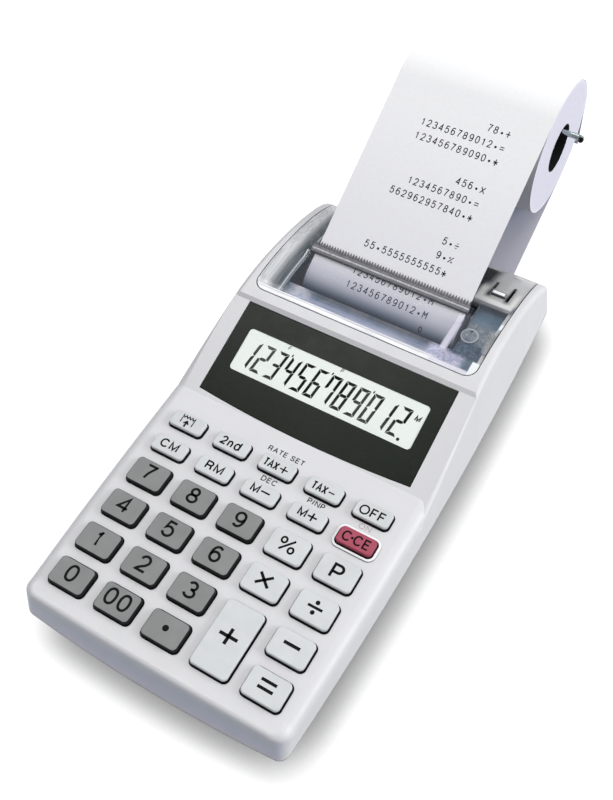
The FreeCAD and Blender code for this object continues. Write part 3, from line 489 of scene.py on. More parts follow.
def ink(name, col, rough=0.5):
    m = M(name).set(spec=0.08)
    m.color(m.ramp(m.noise(1500.0, 3.0), [(0.3, [c * 0.8 for c in col]), (0.7, [min(1, c * 1.25) for c in col])]))
    m.b.inputs["Roughness"].default_value = rough
    m.bump(m.noise(3000.0, 2.0), 0.05, 0.00001)
    return m


def clear_material(name, tint, alpha, edge, rough=0.06):
    """Clear moulded plastic: see-through, denser where it is seen edge-on."""
    m = M(name).set(base=tint, spec=0.5, ior=1.52)
    lw = m.n.new("ShaderNodeLayerWeight")
    lw.inputs["Blend"].default_value = 0.35
    n = m.noise(35.0, 3.0)
    f = m.maprange(lw.outputs["Facing"], 0.25, 1.0, alpha, edge)
    f = m.math("ADD", f, m.maprange(n, 0.35, 0.65, -0.02, 0.03), clamp=True)
    m.link(f, m.b.inputs["Alpha"])
    m.roughness(m.ramp(m.noise(150.0, 3.0), [(0.3, rough), (0.7, rough + 0.06)]))
    m.bump(m.noise(90.0, 2.0), 0.06, 0.0002)
    return m


def cutter_material():
    m = M("cutter_metal").set(metal=0.35, spec=0.4)
    y = m.mm(1)
    s = m.streaks(1, 2600.0, 120.0)
    # painted light and shade across the bar: a bright line of painted highlight between darker bands, and the root of
    # the teeth painted into shade
    col = m.ramp(m.maprange(y, 56.0, 60.1, 0.0, 1.0, False),
                 [(0.0, (0.10, 0.10, 0.115)), (0.22, (0.15, 0.15, 0.165)), (0.27, (0.46, 0.46, 0.48)), (0.33, (0.44, 0.44, 0.46)), (0.38, (0.13, 0.13, 0.145)), (0.54, (0.15, 0.15, 0.165)), (0.60, (0.085, 0.085, 0.095)), (1.0, (0.12, 0.12, 0.13))])
    col = m.mix(m.math("MULTIPLY", m.ramp(s, [(0.4, 0.0), (0.65, 1.0)]), 0.4), col, (0.10, 0.10, 0.105))
    m.color(col)
    m.roughness(m.ramp(s, [(0.3, 0.42), (0.7, 0.6)]))
    m.bump(s, 0.1, 0.00003)
    return m


MAT["case"] = case_material()
MAT["key_grey"] = grey_key_material()
MAT["key_white"] = key_material("key_white", (0.545, 0.563, 0.567), (0.0022, 0.0022, 0.0026), 28.66, 28.84)
MAT["key_pink"] = key_material("key_pink", (0.330, 0.046, 0.085), (0.030, 0.003, 0.008), 28.45, 29.1, 0.36)
MAT["window"] = plastic("window_plate", (0.0125, 0.0160, 0.0115), 0.26, 0.08, 2600.0, 0.02, 0.10)
MAT["lcd"] = plastic("lcd_panel", (0.755, 0.80, 0.75), 0.45, 0.01, 900.0, 0.03, 0.2)
MAT["mat"] = plastic("rubber_mat", (0.10, 0.10, 0.105), 0.8, 0.06, 1500.0, 0.2, 0.3)
MAT["board"] = plastic("main_board", (0.02, 0.16, 0.06), 0.35, 0.15, 800.0, 0.2)
MAT["cover"] = cover_material()
MAT["lens"] = clear_material("window_lens", (0.86, 0.9, 0.86), 0.02, 0.10, 0.12)
MAT["cutter"] = cutter_material()
MAT["frame"] = frame_material()
MAT["platen"] = plastic("platen_plastic", (0.022, 0.031, 0.041), 0.5, 0.15, 900.0, 0.3)
MAT["steel"] = brushed("steel", (0.62, 0.62, 0.63), 0.28, "X")
MAT["rubber"] = plastic("black_rubber", (0.025, 0.025, 0.027), 0.75, 0.2, 1400.0, 0.3, 0.3)
MAT["acetal"] = plastic("gear_plastic", (0.72, 0.72, 0.68), 0.4, 0.04)
MAT["felt"] = plastic("ink_felt", (0.06, 0.02, 0.16), 0.95, 0.3, 2500.0, 0.8, 0.1)
MAT["can"] = brushed("motor_can", (0.55, 0.55, 0.56), 0.3, "X")
MAT["wire"] = brushed("wire", (0.36, 0.41, 0.41), 0.16, "X", 35.0)
MAT["paper"] = paper_material("paper")
MAT["roll"] = paper_material("paper_roll", "roll")
MAT["web"] = paper_material("paper_web", "web")
MAT["cell"] = plastic("cell_sleeve", (0.04, 0.04, 0.05), 0.3, 0.2)
MAT["jack"] = plastic("jack_plastic", (0.02, 0.02, 0.022), 0.4, 0.1)
MAT["seam"] = plastic("gap_shadow", (0.012, 0.013, 0.014), 0.9, 0.3, 1200.0, 0.2, 0.1)
MAT["ink_black"] = ink("legend_ink", (0.004, 0.005, 0.0045), 0.6)
MAT["ink_grey"] = ink("label_ink", (0.035, 0.037, 0.038), 0.6)
MAT["ink_faint"] = ink("label_ink_faint", (0.42, 0.35, 0.375))
MAT["ink_dark_red"] = ink("legend_ink_red", (0.012, 0.0015, 0.003), 0.6)
MAT["ink_lcd"] = ink("display_ink", (0.003, 0.0035, 0.003), 0.6)
MAT["ink_print"] = ink("printer_ink", (0.013, 0.011, 0.036), 0.7)

SLOT_OF = {"case_plastic": "case", "key_grey": "key_grey", "key_white": "key_white", "key_pink": "key_pink",
           "window": "window", "lcd": "lcd", "rubber_mat": "mat", "board": "board", "clear_cover": "cover",
           "cutter_metal": "cutter", "frame_plastic": "frame", "steel": "steel", "roller_rubber": "rubber",
           "gear_plastic": "acetal", "ink_felt": "felt", "motor_can": "can", "paper": "paper", "wire": "wire",
           "cell": "cell", "jack_plastic": "jack"}


def paint(ob, key):
    ob.data.materials.clear()
    ob.data.materials.append(MAT[key].m)


for sp in frame["record"]["subparts"]:
    paint(NODES[sp["node"]], SLOT_OF[sp["material_slot"]])
paint(NODES["paper_roll"], "roll")
paint(NODES["platen"], "platen")
for ob in NODES.values():
    for p in ob.data.polygons:
        p.use_smooth = True


def shade(ob, angle=35.0):
    """Smooth faces with hard edges above the angle, kept in the mesh."""
    me = ob.data
    bm = bmesh.new()
    bm.from_mesh(me)
    lim = math.radians(angle)
    for e in bm.edges:
        e.smooth = len(e.link_faces) == 2 and e.calc_face_angle(0.0) < lim
    for f in bm.faces:
        f.smooth = True
    bm.to_mesh(me)
    bm.free()


# --------------------------- lettering engine ------------------------------
def arc(cx, cy, rx, ry, a0, a1, n=2.0, step=9.0):
    k = max(2, int(abs(a1 - a0) / step))
    out = []
    for i in range(k + 1):
        a = math.radians(a0 + (a1 - a0) * i / k)
        c, s = math.cos(a), math.sin(a)
        out.append((cx + rx * math.copysign(abs(c) ** (2.0 / n), c),
                    cy + ry * math.copysign(abs(s) ** (2.0 / n), s)))
    return out


def curve(pts, n=6):
    """Smooth line through the points."""
    q = [pts[0]] + list(pts) + [pts[-1]]
    out = []
    for i in range(1, len(q) - 2):
        p0, p1, p2, p3 = q[i - 1:i + 3]
        for j in range(n):
            t = j / n
            out.append(tuple(0.5 * (2 * b + (c - a) * t + (2 * a - 5 * b + 4 * c - d) * t * t
                                    + (3 * b - a - 3 * c + d) * t ** 3)
                             for a, b, c, d in zip(p0, p1, p2, p3)))
    out.append(tuple(pts[-1]))
    return out


DOT = "dot"
# glyph: width over cap height, strokes in a unit square
GLYPH = {
    "0": (0.68, [arc(0.5, 0.5, 0.5, 0.5, 90, 450, 2.3)]),
    "1": (0.34, [curve([(0.0, 0.76), (0.42, 0.79), (0.80, 0.87), (1.0, 0.985)]) + [(1.0, 1.0), (1.0, 0.0)]]),
    "2": (0.67, [arc(0.49, 0.70, 0.47, 0.30, 172, -22) + curve([(0.925, 0.59), (0.70, 0.40), (0.36, 0.24), (0.08, 0.09)])[1:]
                 + [(0.0, 0.0), (1.0, 0.0)]]),
    "3": (0.68, [arc(0.47, 0.755, 0.42, 0.245, 160, -90), arc(0.47, 0.265, 0.52, 0.265, 98, -165)]),
    "4": (0.72, [[(0.74, 0.0), (0.74, 1.0), (0.0, 0.27), (1.0, 0.27)]]),
    "5": (0.68, [[(0.93, 1.0), (0.20, 1.0)] + arc(0.47, 0.325, 0.52, 0.335, 142, -160)]),
    "6": (0.68, [arc(0.5, 0.315, 0.48, 0.315, 0, 360), arc(0.53, 0.5, 0.52, 0.5, 50, 180, 2.2) + [(0.015, 0.35)]]),
    "7": (0.68, [[(0.0, 1.0), (1.0, 1.0)] + curve([(1.0, 0.99), (0.70, 0.66), (0.47, 0.34), (0.36, 0.0)])]),
    "8": (0.68, [arc(0.5, 0.76, 0.40, 0.24, 90, 450), arc(0.5, 0.265, 0.5, 0.265, 90, 450)]),
    "9": (0.68, [arc(0.5, 0.685, 0.48, 0.315, 0, 360), arc(0.47, 0.5, 0.52, 0.5, 230, 360, 2.2) + [(0.985, 0.65)]]),
    "A": (0.88, [[(0.0, 0.0), (0.5, 1.0), (1.0, 0.0)], [(0.19, 0.36), (0.81, 0.36)]]),
    "C": (0.86, [arc(0.53, 0.5, 0.53, 0.5, 38, 322, 2.15)]),
    "D": (0.80, [[(0.0, 0.0), (0.0, 1.0), (0.42, 1.0)] + arc(0.42, 0.5, 0.58, 0.5, 90, -90) + [(0.0, 0.0)]]),
    "E": (0.68, [[(1.0, 1.0), (0.0, 1.0), (0.0, 0.0), (1.0, 0.0)], [(0.0, 0.52), (0.92, 0.52)]]),
    "F": (0.66, [[(0.0, 0.0), (0.0, 1.0), (1.0, 1.0)], [(0.0, 0.52), (0.88, 0.52)]]),
    "M": (0.92, [[(0.0, 0.0), (0.0, 1.0), (0.5, 0.06), (1.0, 1.0), (1.0, 0.0)]]),
    "N": (0.80, [[(0.0, 0.0), (0.0, 1.0), (1.0, 0.0), (1.0, 1.0)]]),
    "O": (0.98, [arc(0.5, 0.5, 0.5, 0.5, 90, 450, 2.1)]),
    "P": (0.70, [[(0.0, 0.0), (0.0, 1.0), (0.56, 1.0)] + arc(0.58, 0.72, 0.42, 0.28, 90, -90) + [(0.0, 0.44)]]),
    "R": (0.76, [[(0.0, 0.0), (0.0, 1.0), (0.56, 1.0)] + arc(0.58, 0.735, 0.40, 0.265, 90, -90) + [(0.0, 0.47)],
                 curve([(0.56, 0.47), (0.80, 0.42), (0.88, 0.26), (0.90, 0.10), (1.0, 0.0)])]),
    "S": (0.76, [curve([(0.94, 0.74), (0.82, 0.93), (0.5, 1.0), (0.17, 0.92), (0.06, 0.74), (0.20, 0.59),
                        (0.5, 0.51), (0.82, 0.42), (0.96, 0.26), (0.84, 0.07), (0.5, 0.0), (0.14, 0.08), (0.02, 0.28)])]),
    "T": (0.74, [[(0.0, 1.0), (1.0, 1.0)], [(0.5, 1.0), (0.5, 0.0)]]),
    "X": (0.80, [[(0.0, 0.0), (1.0, 1.0)], [(0.0, 1.0), (1.0, 0.0)]]),
    "d": (0.62, [arc(0.49, 0.365, 0.49, 0.365, 0, 360), [(1.0, 0.0), (1.0, 1.0)]]),
    "n": (0.56, [[(0.0, 0.0), (0.0, 0.72)], [(0.0, 0.45)] + arc(0.5, 0.44, 0.5, 0.28, 165, 0) + [(1.0, 0.0)]]),
    "+": (0.80, [[(0.0, 0.42), (1.0, 0.42)], [(0.5, 0.02), (0.5, 0.82)]]),
    "-": (0.80, [[(0.0, 0.42), (1.0, 0.42)]]),
    "=": (0.72, [[(0.0, 0.62), (1.0, 0.62)], [(0.0, 0.30), (1.0, 0.30)]]),
    "/": (0.30, [[(0.0, 0.0), (1.0, 1.0)]]),
    " ": (0.34, []),
    ".": (0.20, [(DOT, 0.5, 0.42, 1.45)]),
}


class Strokes:
    """Flat lettering with a thin body. place maps (u, v, w) to a point: u and v
    in millimetres on the surface, w above it."""

    def __init__(self, name, place, top=0.02, bottom=-0.10):
        self.name, self.place, self.top, self.bottom = name, place, top, bottom
        self.step = None
        self.v, self.f = [], []

    def _solid(self, ring):
        """Closed polygon of (u, v), counter-clockwise."""
        n = len(ring)
        b = len(self.v)
        self.v += [self.place(u, v, self.top) for u, v in ring]
        self.v += [self.place(u, v, self.bottom) for u, v in ring]
        self.f.append(tuple(range(b, b + n)))
        self.f.append(tuple(range(b + 2 * n - 1, b + n - 1, -1)))
        for i in range(n):
            j = (i + 1) % n
            self.f.append((b + i, b + n + i, b + n + j, b + j))

    def disc(self, cx, cy, r, n=20, ry=None):
        ry = r if ry is None else ry
        self._solid([(cx + r * math.cos(2 * math.pi * i / n), cy + ry * math.sin(2 * math.pi * i / n)) for i in range(n)])

    def stroke(self, pts, w):
        """One stroke of width w along a polyline, with mitred corners."""
        p = [Vector(q) for q in pts]
        q = [p[0]]
        for a in p[1:]:
            if (a - q[-1]).length > 1e-4:
                q.append(a)
        if self.step:
            fine = [q[0]]
            for a in q[1:]:
                k = max(1, int(math.ceil((a - fine[-1]).length / self.step)))
                b = fine[-1]
                fine += [b + (a - b) * (i / k) for i in range(1, k + 1)]
            q = fine
        closed = (q[0] - q[-1]).length < 1e-3 and len(q) > 3
        if closed:
            q = q[:-1]
        n = len(q)
        if n < 2:
            return
        left, right = [], []
        for i in range(n):
            if closed:
                a, b, c = q[i - 1], q[i], q[(i + 1) % n]
            else:
                a, b, c = q[max(i - 1, 0)], q[i], q[min(i + 1, n - 1)]
            d1 = (b - a).normalized() if (b - a).length > 1e-6 else (c - b).normalized()
            d2 = (c - b).normalized() if (c - b).length > 1e-6 else d1
            n1, n2 = Vector((-d1.y, d1.x)), Vector((-d2.y, d2.x))
            m = n1 + n2
            if m.length < 1e-3:
                m = n1
            m.normalize()
            k = 1.0 / max(0.42, m.dot(n1))
            left.append(b + m * (w / 2 * k))
            right.append(b - m * (w / 2 * k))
        base = len(self.v)
        for h in (self.top, self.bottom):
            self.v += [self.place(a.x, a.y, h) for a in left]
            self.v += [self.place(a.x, a.y, h) for a in right]
        L, R, LB, RB = base, base + n, base + 2 * n, base + 3 * n
        last = n if closed else n - 1
        for i in range(last):
            j = (i + 1) % n
            self.f += [(R + i, R + j, L + j, L + i), (LB + i, LB + j, RB + j, RB + i),
                       (L + i, L + j, LB + j, LB + i), (R + j, R + i, RB + i, RB + j)]
        if not closed:
            self.f += [(L, LB, RB, R), (R + n - 1, RB + n - 1, LB + n - 1, L + n - 1)]

    def glyph(self, ch, x, y, h, w, width=None, slant=0.0, box_w=None):
        """Glyph with its left edge at x and its foot at y; h is the cap height, w the stroke."""
        gw, strokes = GLYPH[ch]
        W = (gw * h if width is None else width)
        for s in strokes:
            if s[0] == DOT:
                _, u, v, r = s
                self.disc(x + W * u, y + v * h, w * r / 2 * 1.15)
                continue
            self.stroke([(x + w / 2 + u * (W - w) + slant * v * h, y + w / 2 + v * (h - w)) for u, v in s], w)
        return W

    def text(self, s, x, y, h, w, gap=0.17, squeeze=1.0):
        """Centred on x when x is a tuple (x0, x1): then it fills that span exactly."""
        widths = [GLYPH[c][0] * h for c in s]
        if isinstance(x, tuple):
            total = sum(widths) + gap * h * (len(s) - 1)
            squeeze = (x[1] - x[0]) / total
            x = x[0]
        for c, gw in zip(s, widths):
            self.glyph(c, x, y, h, w, gw * squeeze)
            x += (gw + gap * h) * squeeze

    def make(self, mat):
        me = bpy.data.meshes.new(self.name)
        me.from_pydata([tuple(v) for v in self.v], [], self.f)
        me.update()
        bm = bmesh.new()
        bm.from_mesh(me)
        bmesh.ops.recalc_face_normals(bm, faces=bm.faces)
        bm.to_mesh(me)
        bm.free()
        me.materials.append(MAT[mat].m)
        ob = bpy.data.objects.new(self.name, me)
        COLL.objects.link(ob)
        return ob


def mesh_object(name, verts, faces, mat, smooth=True, angle=35.0):
    me = bpy.data.meshes.new(name)
    me.from_pydata([tuple(v) for v in verts], [], faces)
    me.update()
    bm = bmesh.new()
    bm.from_mesh(me)
    bmesh.ops.recalc_face_normals(bm, faces=bm.faces)
    bm.to_mesh(me)
    bm.free()
    me.materials.append(MAT[mat].m)
    ob = bpy.data.objects.new(name, me)
    COLL.objects.link(ob)
    if smooth:
        shade(ob, angle)
    return ob


# ------------------------------ key legends --------------------------------
COLS = [-34.3, -17.15, 0.0, 17.15, 34.3]
ROWS = [-80.97, -67.8, -54.6, -41.4]
ROW_B, ROW_A = -29.7, -19.25
KEY_TOP = 29.7


def key_legend(key, cx, cy, draw, mat="ink_black"):
    s = Strokes("legend_" + key, lambda u, v, w: P(cx + u, cy + v, KEY_TOP + w), 0.015, -0.12)
    draw(s)
    ob = s.make(mat)
    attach(ob, "key_" + key)
    return ob


def digit(d):
    def draw(s):
        H, W, t = 5.65, 3.95, 0.85
        if d == "1":
            s.glyph("1", -1.45, -2.30, H, t, 1.95)
        elif d == "4":
            s.glyph("4", -2.35, -2.30, H, t, 4.35)
        else:
            s.glyph(d, -2.15, -2.30, H, t, W)
    return draw


for d, (c, r) in {"0": (0, 0), "1": (0, 1), "4": (0, 2), "7": (0, 3), "2": (1, 1), "5": (1, 2), "8": (1, 3),
                  "3": (2, 1), "6": (2, 2), "9": (2, 3)}.items():
    key_legend(d, COLS[c], ROWS[r], digit(d))


def draw_00(s):
    s.glyph("0", -4.60, -2.25, 5.60, 0.84, 3.9)
    s.glyph("0", 0.20, -2.25, 5.60, 0.84, 3.9)


def draw_plus(s):
    s.stroke([(-3.05, 0.62), (3.05, 0.62)], 1.06)
    s.stroke([(0.0, -1.95), (0.0, 3.2)], 1.06)


def draw_divide(s):
    s.stroke([(-2.4, 0.42), (2.4, 0.42)], 0.86)
    s.disc(0, 2.08, 0.70, ry=0.72)
    s.disc(0, -1.24, 0.70, ry=0.72)


def draw_percent(s):
    for x, y in ((-1.80, 1.42), (1.66, -0.92)):
        s.stroke([(x + 0.86 * math.cos(a), y + 0.95 * math.sin(a)) for a in
                  [2 * math.pi * i / 28 for i in range(29)]], 0.66)
    s.stroke([(-2.0, -1.90), (1.7, 2.45)], 0.70)


def draw_equals(s):
    s.stroke([(-2.5, 1.68), (2.5, 1.68)], 0.94)
    s.stroke([(-2.5, -0.62), (2.5, -0.62)], 0.94)


def draw_multiply(s):
    s.stroke([(-2.40, 2.40), (1.92, -1.38)], 0.92)
    s.stroke([(-2.45, -1.35), (1.95, 2.42)], 0.92)


key_legend("00", COLS[1], ROWS[0], draw_00)
key_legend("point", COLS[2], ROWS[0], lambda s: s.disc(-0.05, 0.32, 1.0, 28))
key_legend("plus", COLS[3], (ROWS[0] + ROWS[1]) / 2, draw_plus)
key_legend("minus", COLS[4], ROWS[1], lambda s: s.stroke([(-2.65, 0.65), (2.65, 0.65)], 1.04))
key_legend("equals", COLS[4], ROWS[0], draw_equals)
key_legend("divide", COLS[4], ROWS[2], draw_divide)
key_legend("multiply", COLS[3], ROWS[2], draw_multiply)
key_legend("percent", COLS[3], ROWS[3], draw_percent)
key_legend("p", COLS[4], ROWS[3], lambda s: s.glyph("P", -1.95, -2.65, 5.25, 0.88, 4.0))

SH, ST = 3.25, 0.58


def small(text, x0, x1, y0=-1.25, h=SH, t=ST, gap=0.17):
    return lambda s: s.text(text, (x0, x1), y0, h, t, gap)


def draw_m_minus(s):
    s.glyph("M", -3.35, -1.1, 3.1, ST, 2.95)
    s.stroke([(0.25, 0.50), (3.35, 0.50)], ST)


def draw_m_plus(s):
    s.glyph("M", -3.3, -1.15, 3.1, ST, 2.9)
    s.stroke([(0.10, 0.25), (3.25, 0.25)], ST)
    s.stroke([(1.68, -1.2), (1.68, 1.7)], ST)


def draw_tax(sign):
    def draw(s):
        s.text("TAX", (-4.75, 0.55) if sign == "+" else (-4.25, 1.15), -1.70, 3.1, 0.53, 0.03)
        if sign == "+":
            s.stroke([(1.2, -0.22), (3.95, -0.22)], 0.48)
            s.stroke([(2.57, -1.55), (2.57, 1.1)], 0.48)
        else:
            s.stroke([(1.65, -0.17), (3.7, -0.17)], 0.48)
    return draw


def draw_second(s):
    s.glyph("2", -3.95, -1.5, 3.25, ST, 2.15)
    s.glyph("n", -1.35, -1.6, 3.35, ST, 1.85)
    s.glyph("d", 1.10, -1.65, 3.55, ST, 2.25)


def draw_feed(s):
    # a torn paper edge over an arrow that points up
    pts = [(-2.55, -1.0), (-2.65, 1.9)]
    xs = [-2.65 + i * (4.45 / 8) for i in range(9)]
    pts = [(-2.5, -1.05), (-2.65, 1.95)]
    for i in range(1, 9):
        pts.append((xs[i], 1.95 if i % 2 == 0 else 1.15))
    pts += [(1.85, -1.15)]
    s.stroke(pts, 0.40)
    s.stroke([(-0.35, -2.2), (-0.35, 0.0)], 0.64)
    s.stroke([(-1.25, -0.95), (-0.35, 0.12), (0.55, -0.95)], 0.54)


def draw_clear(s):
    s.glyph("C", -4.70, -1.75, 3.50, 0.58, 2.85)
    s.disc(-1.42, 0.05, 0.44, 18)
    s.glyph("C", -0.85, -1.70, 3.50, 0.58, 2.80)
    s.glyph("E", 2.35, -1.65, 3.45, 0.58, 2.25)


key_legend("cm", COLS[0], ROW_B, small("CM", -3.6, 3.1))
key_legend("rm", COLS[1], ROW_B, small("RM", -3.2, 3.25))
key_legend("m_minus", COLS[2], ROW_B, draw_m_minus)
key_legend("m_plus", COLS[3], ROW_B, draw_m_plus)
key_legend("clear", COLS[4], ROW_B, draw_clear, "ink_dark_red")
key_legend("feed", COLS[0], ROW_A, draw_feed)
key_legend("second", COLS[1], ROW_A, draw_second)
key_legend("tax_plus", COLS[2], ROW_A, draw_tax("+"))
key_legend("tax_minus", COLS[3], ROW_A, draw_tax("-"))
key_legend("off", COLS[4], ROW_A, small("OFF", -4.45, 4.25, -1.85, 3.4, 0.55, 0.13))

# labels on the deck
lab = Strokes("deck_labels", lambda u, v, w: P(u, v, 27.75 + w), 0.015, -0.1)
lab.text("RATE SET", (-6.85, 6.5), -14.60, 1.95, 0.34, 0.16)
lab.text("DEC", (-2.95, 2.65), -25.15, 2.0, 0.34, 0.16)
lab.text("P/NP", (13.9, 19.95), -25.0, 1.95, 0.34, 0.16)
ob = lab.make("ink_grey")
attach(ob, "root")
lab = Strokes("deck_label_on", lambda u, v, w: P(u, v, 27.75 + w), 0.015, -0.1)
lab.text("ON", (32.0, 36.1), -24.85, 1.90, 0.27, 0.20)
ob = lab.make("ink_faint")
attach(ob, "root")


# ------------------------- window and the display --------------------------
def rounded(x0, x1, y0, y1, r, n=6):
    out = []
    for cx, cy, a0 in ((x1 - r, y0 + r, -90), (x1 - r, y1 - r, 0), (x0 + r, y1 - r, 90), (x0 + r, y0 + r, 180)):
        for i in range(n + 1):
            a = math.radians(a0 + 90.0 * i / n)
            out.append((cx + r * math.cos(a), cy + r * math.sin(a)))
    return out


def panel(x, y, off):
    return P(x, y, zp(y) + off)


AP = (-34.05, 34.05, 4.95, 20.25, 1.3)        # aperture of the display on the window's face


def window_outline(n=24):
    """Outline of the window, counter-clockwise from its front left corner; the front edge is bowed."""
    x0, x1, yf, ym, yr = 39.6, 39.4, -5.0, -6.72, 28.3
    s = yf - ym
    R = (x0 * x0 + s * s) / (2 * s)
    out = []
    for i in range(n + 1):
        x = -x0 + 2 * x0 * i / n
        out.append((x, ym + R - math.sqrt(R * R - x * x)))
    return out + [(x1, yr), (-x1, yr)]


def make_window():
    outer = window_outline()
    # outline of the window and the rims of the aperture, to be bridged by a fill
    inner = rounded(*AP)
    wide = rounded(AP[0] - 1.2, AP[1] + 1.2, AP[2] - 1.2, AP[3] + 1.2, AP[4] + 0.8)
    bm = bmesh.new()
    cham = 0.22

    def loop(pts, off):
        return [bm.verts.new(panel(x, y, off)) for x, y in pts]

    def shrink(pts, d):
        cx, cy = 0.0, 11.0
        out = []
        for x, y in pts:
            out.append((x - math.copysign(d, x) if abs(x) > 39.0 else x,
                        y - d if y > 20 else y + d))
        return out
    o_top = loop(shrink(outer, cham), -0.10)
    o_mid = loop(outer, -0.10 - cham)
    o_bot = loop(outer, -1.40)
    i_top = loop(inner, -0.10)
    i_mid = loop([(x * 1.0008, y) for x, y in inner], -0.22)
    i_bot = loop(wide, -1.40)

    def wall(a, b):
        for i in range(len(a)):
            j = (i + 1) % len(a)
            bm.faces.new((a[i], a[j], b[j], b[i]))
    wall(o_top, o_mid)
    wall(o_mid, o_bot)
    wall(i_mid, i_top)
    wall(i_bot, i_mid)
    for a, b in ((o_top, i_top), (o_bot, i_bot)):
        edges = []
        for lp in (a, b):
            for i in range(len(lp)):
                e = bm.edges.get((lp[i], lp[(i + 1) % len(lp)])) or bm.edges.new((lp[i], lp[(i + 1) % len(lp)]))
                edges.append(e)
        bmesh.ops.triangle_fill(bm, use_beauty=True, edges=edges)
    # drop any fill across the aperture
    kill = []
    for f in bm.faces:
        c = f.calc_center_median()
        x, y = c.x * 1000, c.y * 1000 - Y_SHIFT
        if len(f.verts) == 3 and AP[0] + 0.6 < x < AP[1] - 0.6 and AP[2] + 0.6 < y < AP[3] - 0.6:
            kill.append(f)
    bmesh.ops.delete(bm, geom=kill, context="FACES_ONLY")
    bmesh.ops.recalc_face_normals(bm, faces=bm.faces)
    me = bpy.data.meshes.new("window_plate")
    bm.to_mesh(me)
    bm.free()
    me.materials.append(MAT["window"].m)
    ob = bpy.data.objects.new("window_plate", me)
    COLL.objects.link(ob)
    shade(ob, 30.0)
    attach(ob, "root")
    # clear pane in the aperture
    pane = rounded(AP[0] + 0.02, AP[1] - 0.02, AP[2] + 0.02, AP[3] - 0.02, AP[4])
    n = len(pane)
    v = [panel(x, y, -0.115) for x, y in pane] + [panel(x, y, -0.20) for x, y in pane]
    f = [tuple(range(n)), tuple(range(2 * n - 1, n - 1, -1))]
    f += [(i, n + i, n + (i + 1) % n, (i + 1) % n) for i in range(n)]
    lens = mesh_object("window_lens", v, f, "lens", False)
    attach(lens, "root")
    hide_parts("display_window")
    # polarising film on the display, close behind the pane
    film = rounded(AP[0] + 0.02, AP[1] - 0.02, AP[2] + 0.02, AP[3] - 0.02, AP[4])
    n = len(film)
    v = [panel(x, y, -0.24) for x, y in film] + [panel(x, y, -1.42) for x, y in film]
    f = [tuple(range(n)), tuple(range(2 * n - 1, n - 1, -1))]
    f += [(i, n + i, n + (i + 1) % n, (i + 1) % n) for i in range(n)]
    film = mesh_object("display_film", v, f, "lcd", False)
    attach(film, "root")


make_window()

# seven-segment figures, slanted, in the plane of the display
SEG = {"0": "abcdef", "1": "bc", "2": "abged", "3": "abgcd", "4": "fgbc", "5": "afgcd", "6": "afgecd", "7": "fabc",
       "8": "abcdefg", "9": "abcdfg"}
lcd = Strokes("display_figures", lambda u, v, w: panel(u + 0.15, v - 0.24, -0.24 + w), 0.02, -0.01)
Y0, Y1, DW, T, SL, GAP = 7.16, 17.38, 3.86, 1.04, 0.150, 0.07
PITCH, X1ST = 5.149, -28.78


def segments():
    """The seven bars of a figure, mitred at the corners."""
    h = Y1 - Y0
    hm, g, q = h / 2, GAP, GAP * 1.4
    a = [(q, h), (T + q, h - T), (DW - T - q, h - T), (DW - q, h)]
    b = [(DW, h - q), (DW - T, h - T - q), (DW - T, hm + T / 2 + g), (DW - T / 2, hm + g), (DW, hm + g)]
    m = [(T / 2 + g, hm), (T + g, hm - T / 2), (DW - T - g, hm - T / 2), (DW - T / 2 - g, hm),
         (DW - T - g, hm + T / 2), (T + g, hm + T / 2)]

    def flip_x(pts):
        return [(DW - x, y) for x, y in reversed(pts)]

    def flip_y(pts):
        return [(x, h - y) for x, y in reversed(pts)]
    return {"a": a, "d": flip_y(a), "b": b, "c": flip_y(b), "f": flip_x(b), "e": flip_x(flip_y(b)), "g": m}


BARS = segments()


def area_of(pts):
    return sum(p[0] * q[1] - q[0] * p[1] for p, q in zip(pts, pts[1:] + pts[:1]))


def figure(ch, xr):
    """xr is the right edge of the figure at its foot."""
    for k in SEG[ch]:
        ring = BARS[k] if area_of(BARS[k]) > 0 else BARS[k][::-1]
        lcd._solid([(xr - DW + x + SL * y, Y0 + y) for x, y in ring])


for i, ch in enumerate("123456789012"):
    figure(ch, X1ST + PITCH * i)
lcd.disc(28.85, 7.02, 0.56, 16)
for x in (-16.05, -0.66, 14.75):
    lcd.stroke([(x + 0.13, 17.98), (x - 0.13, 17.10)], 0.44)
lcd.glyph("M", 30.55, 14.45, 2.05, 0.46, 1.95, 0.155)
ob = lcd.make("ink_lcd")
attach(ob, "root")
sg = Strokes("display_signs", lambda u, v, w: panel(u + 0.15, v - 0.24, -0.24 + w), 0.02, -0.01)
sg.glyph("F", -18.80, 18.78, 1.40, 0.22, 0.95, 0.118)
sg.glyph("P", 1.15, 18.95, 1.45, 0.22, 1.0, 0.118)
ob = sg.make("ink_grey")
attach(ob, "root")


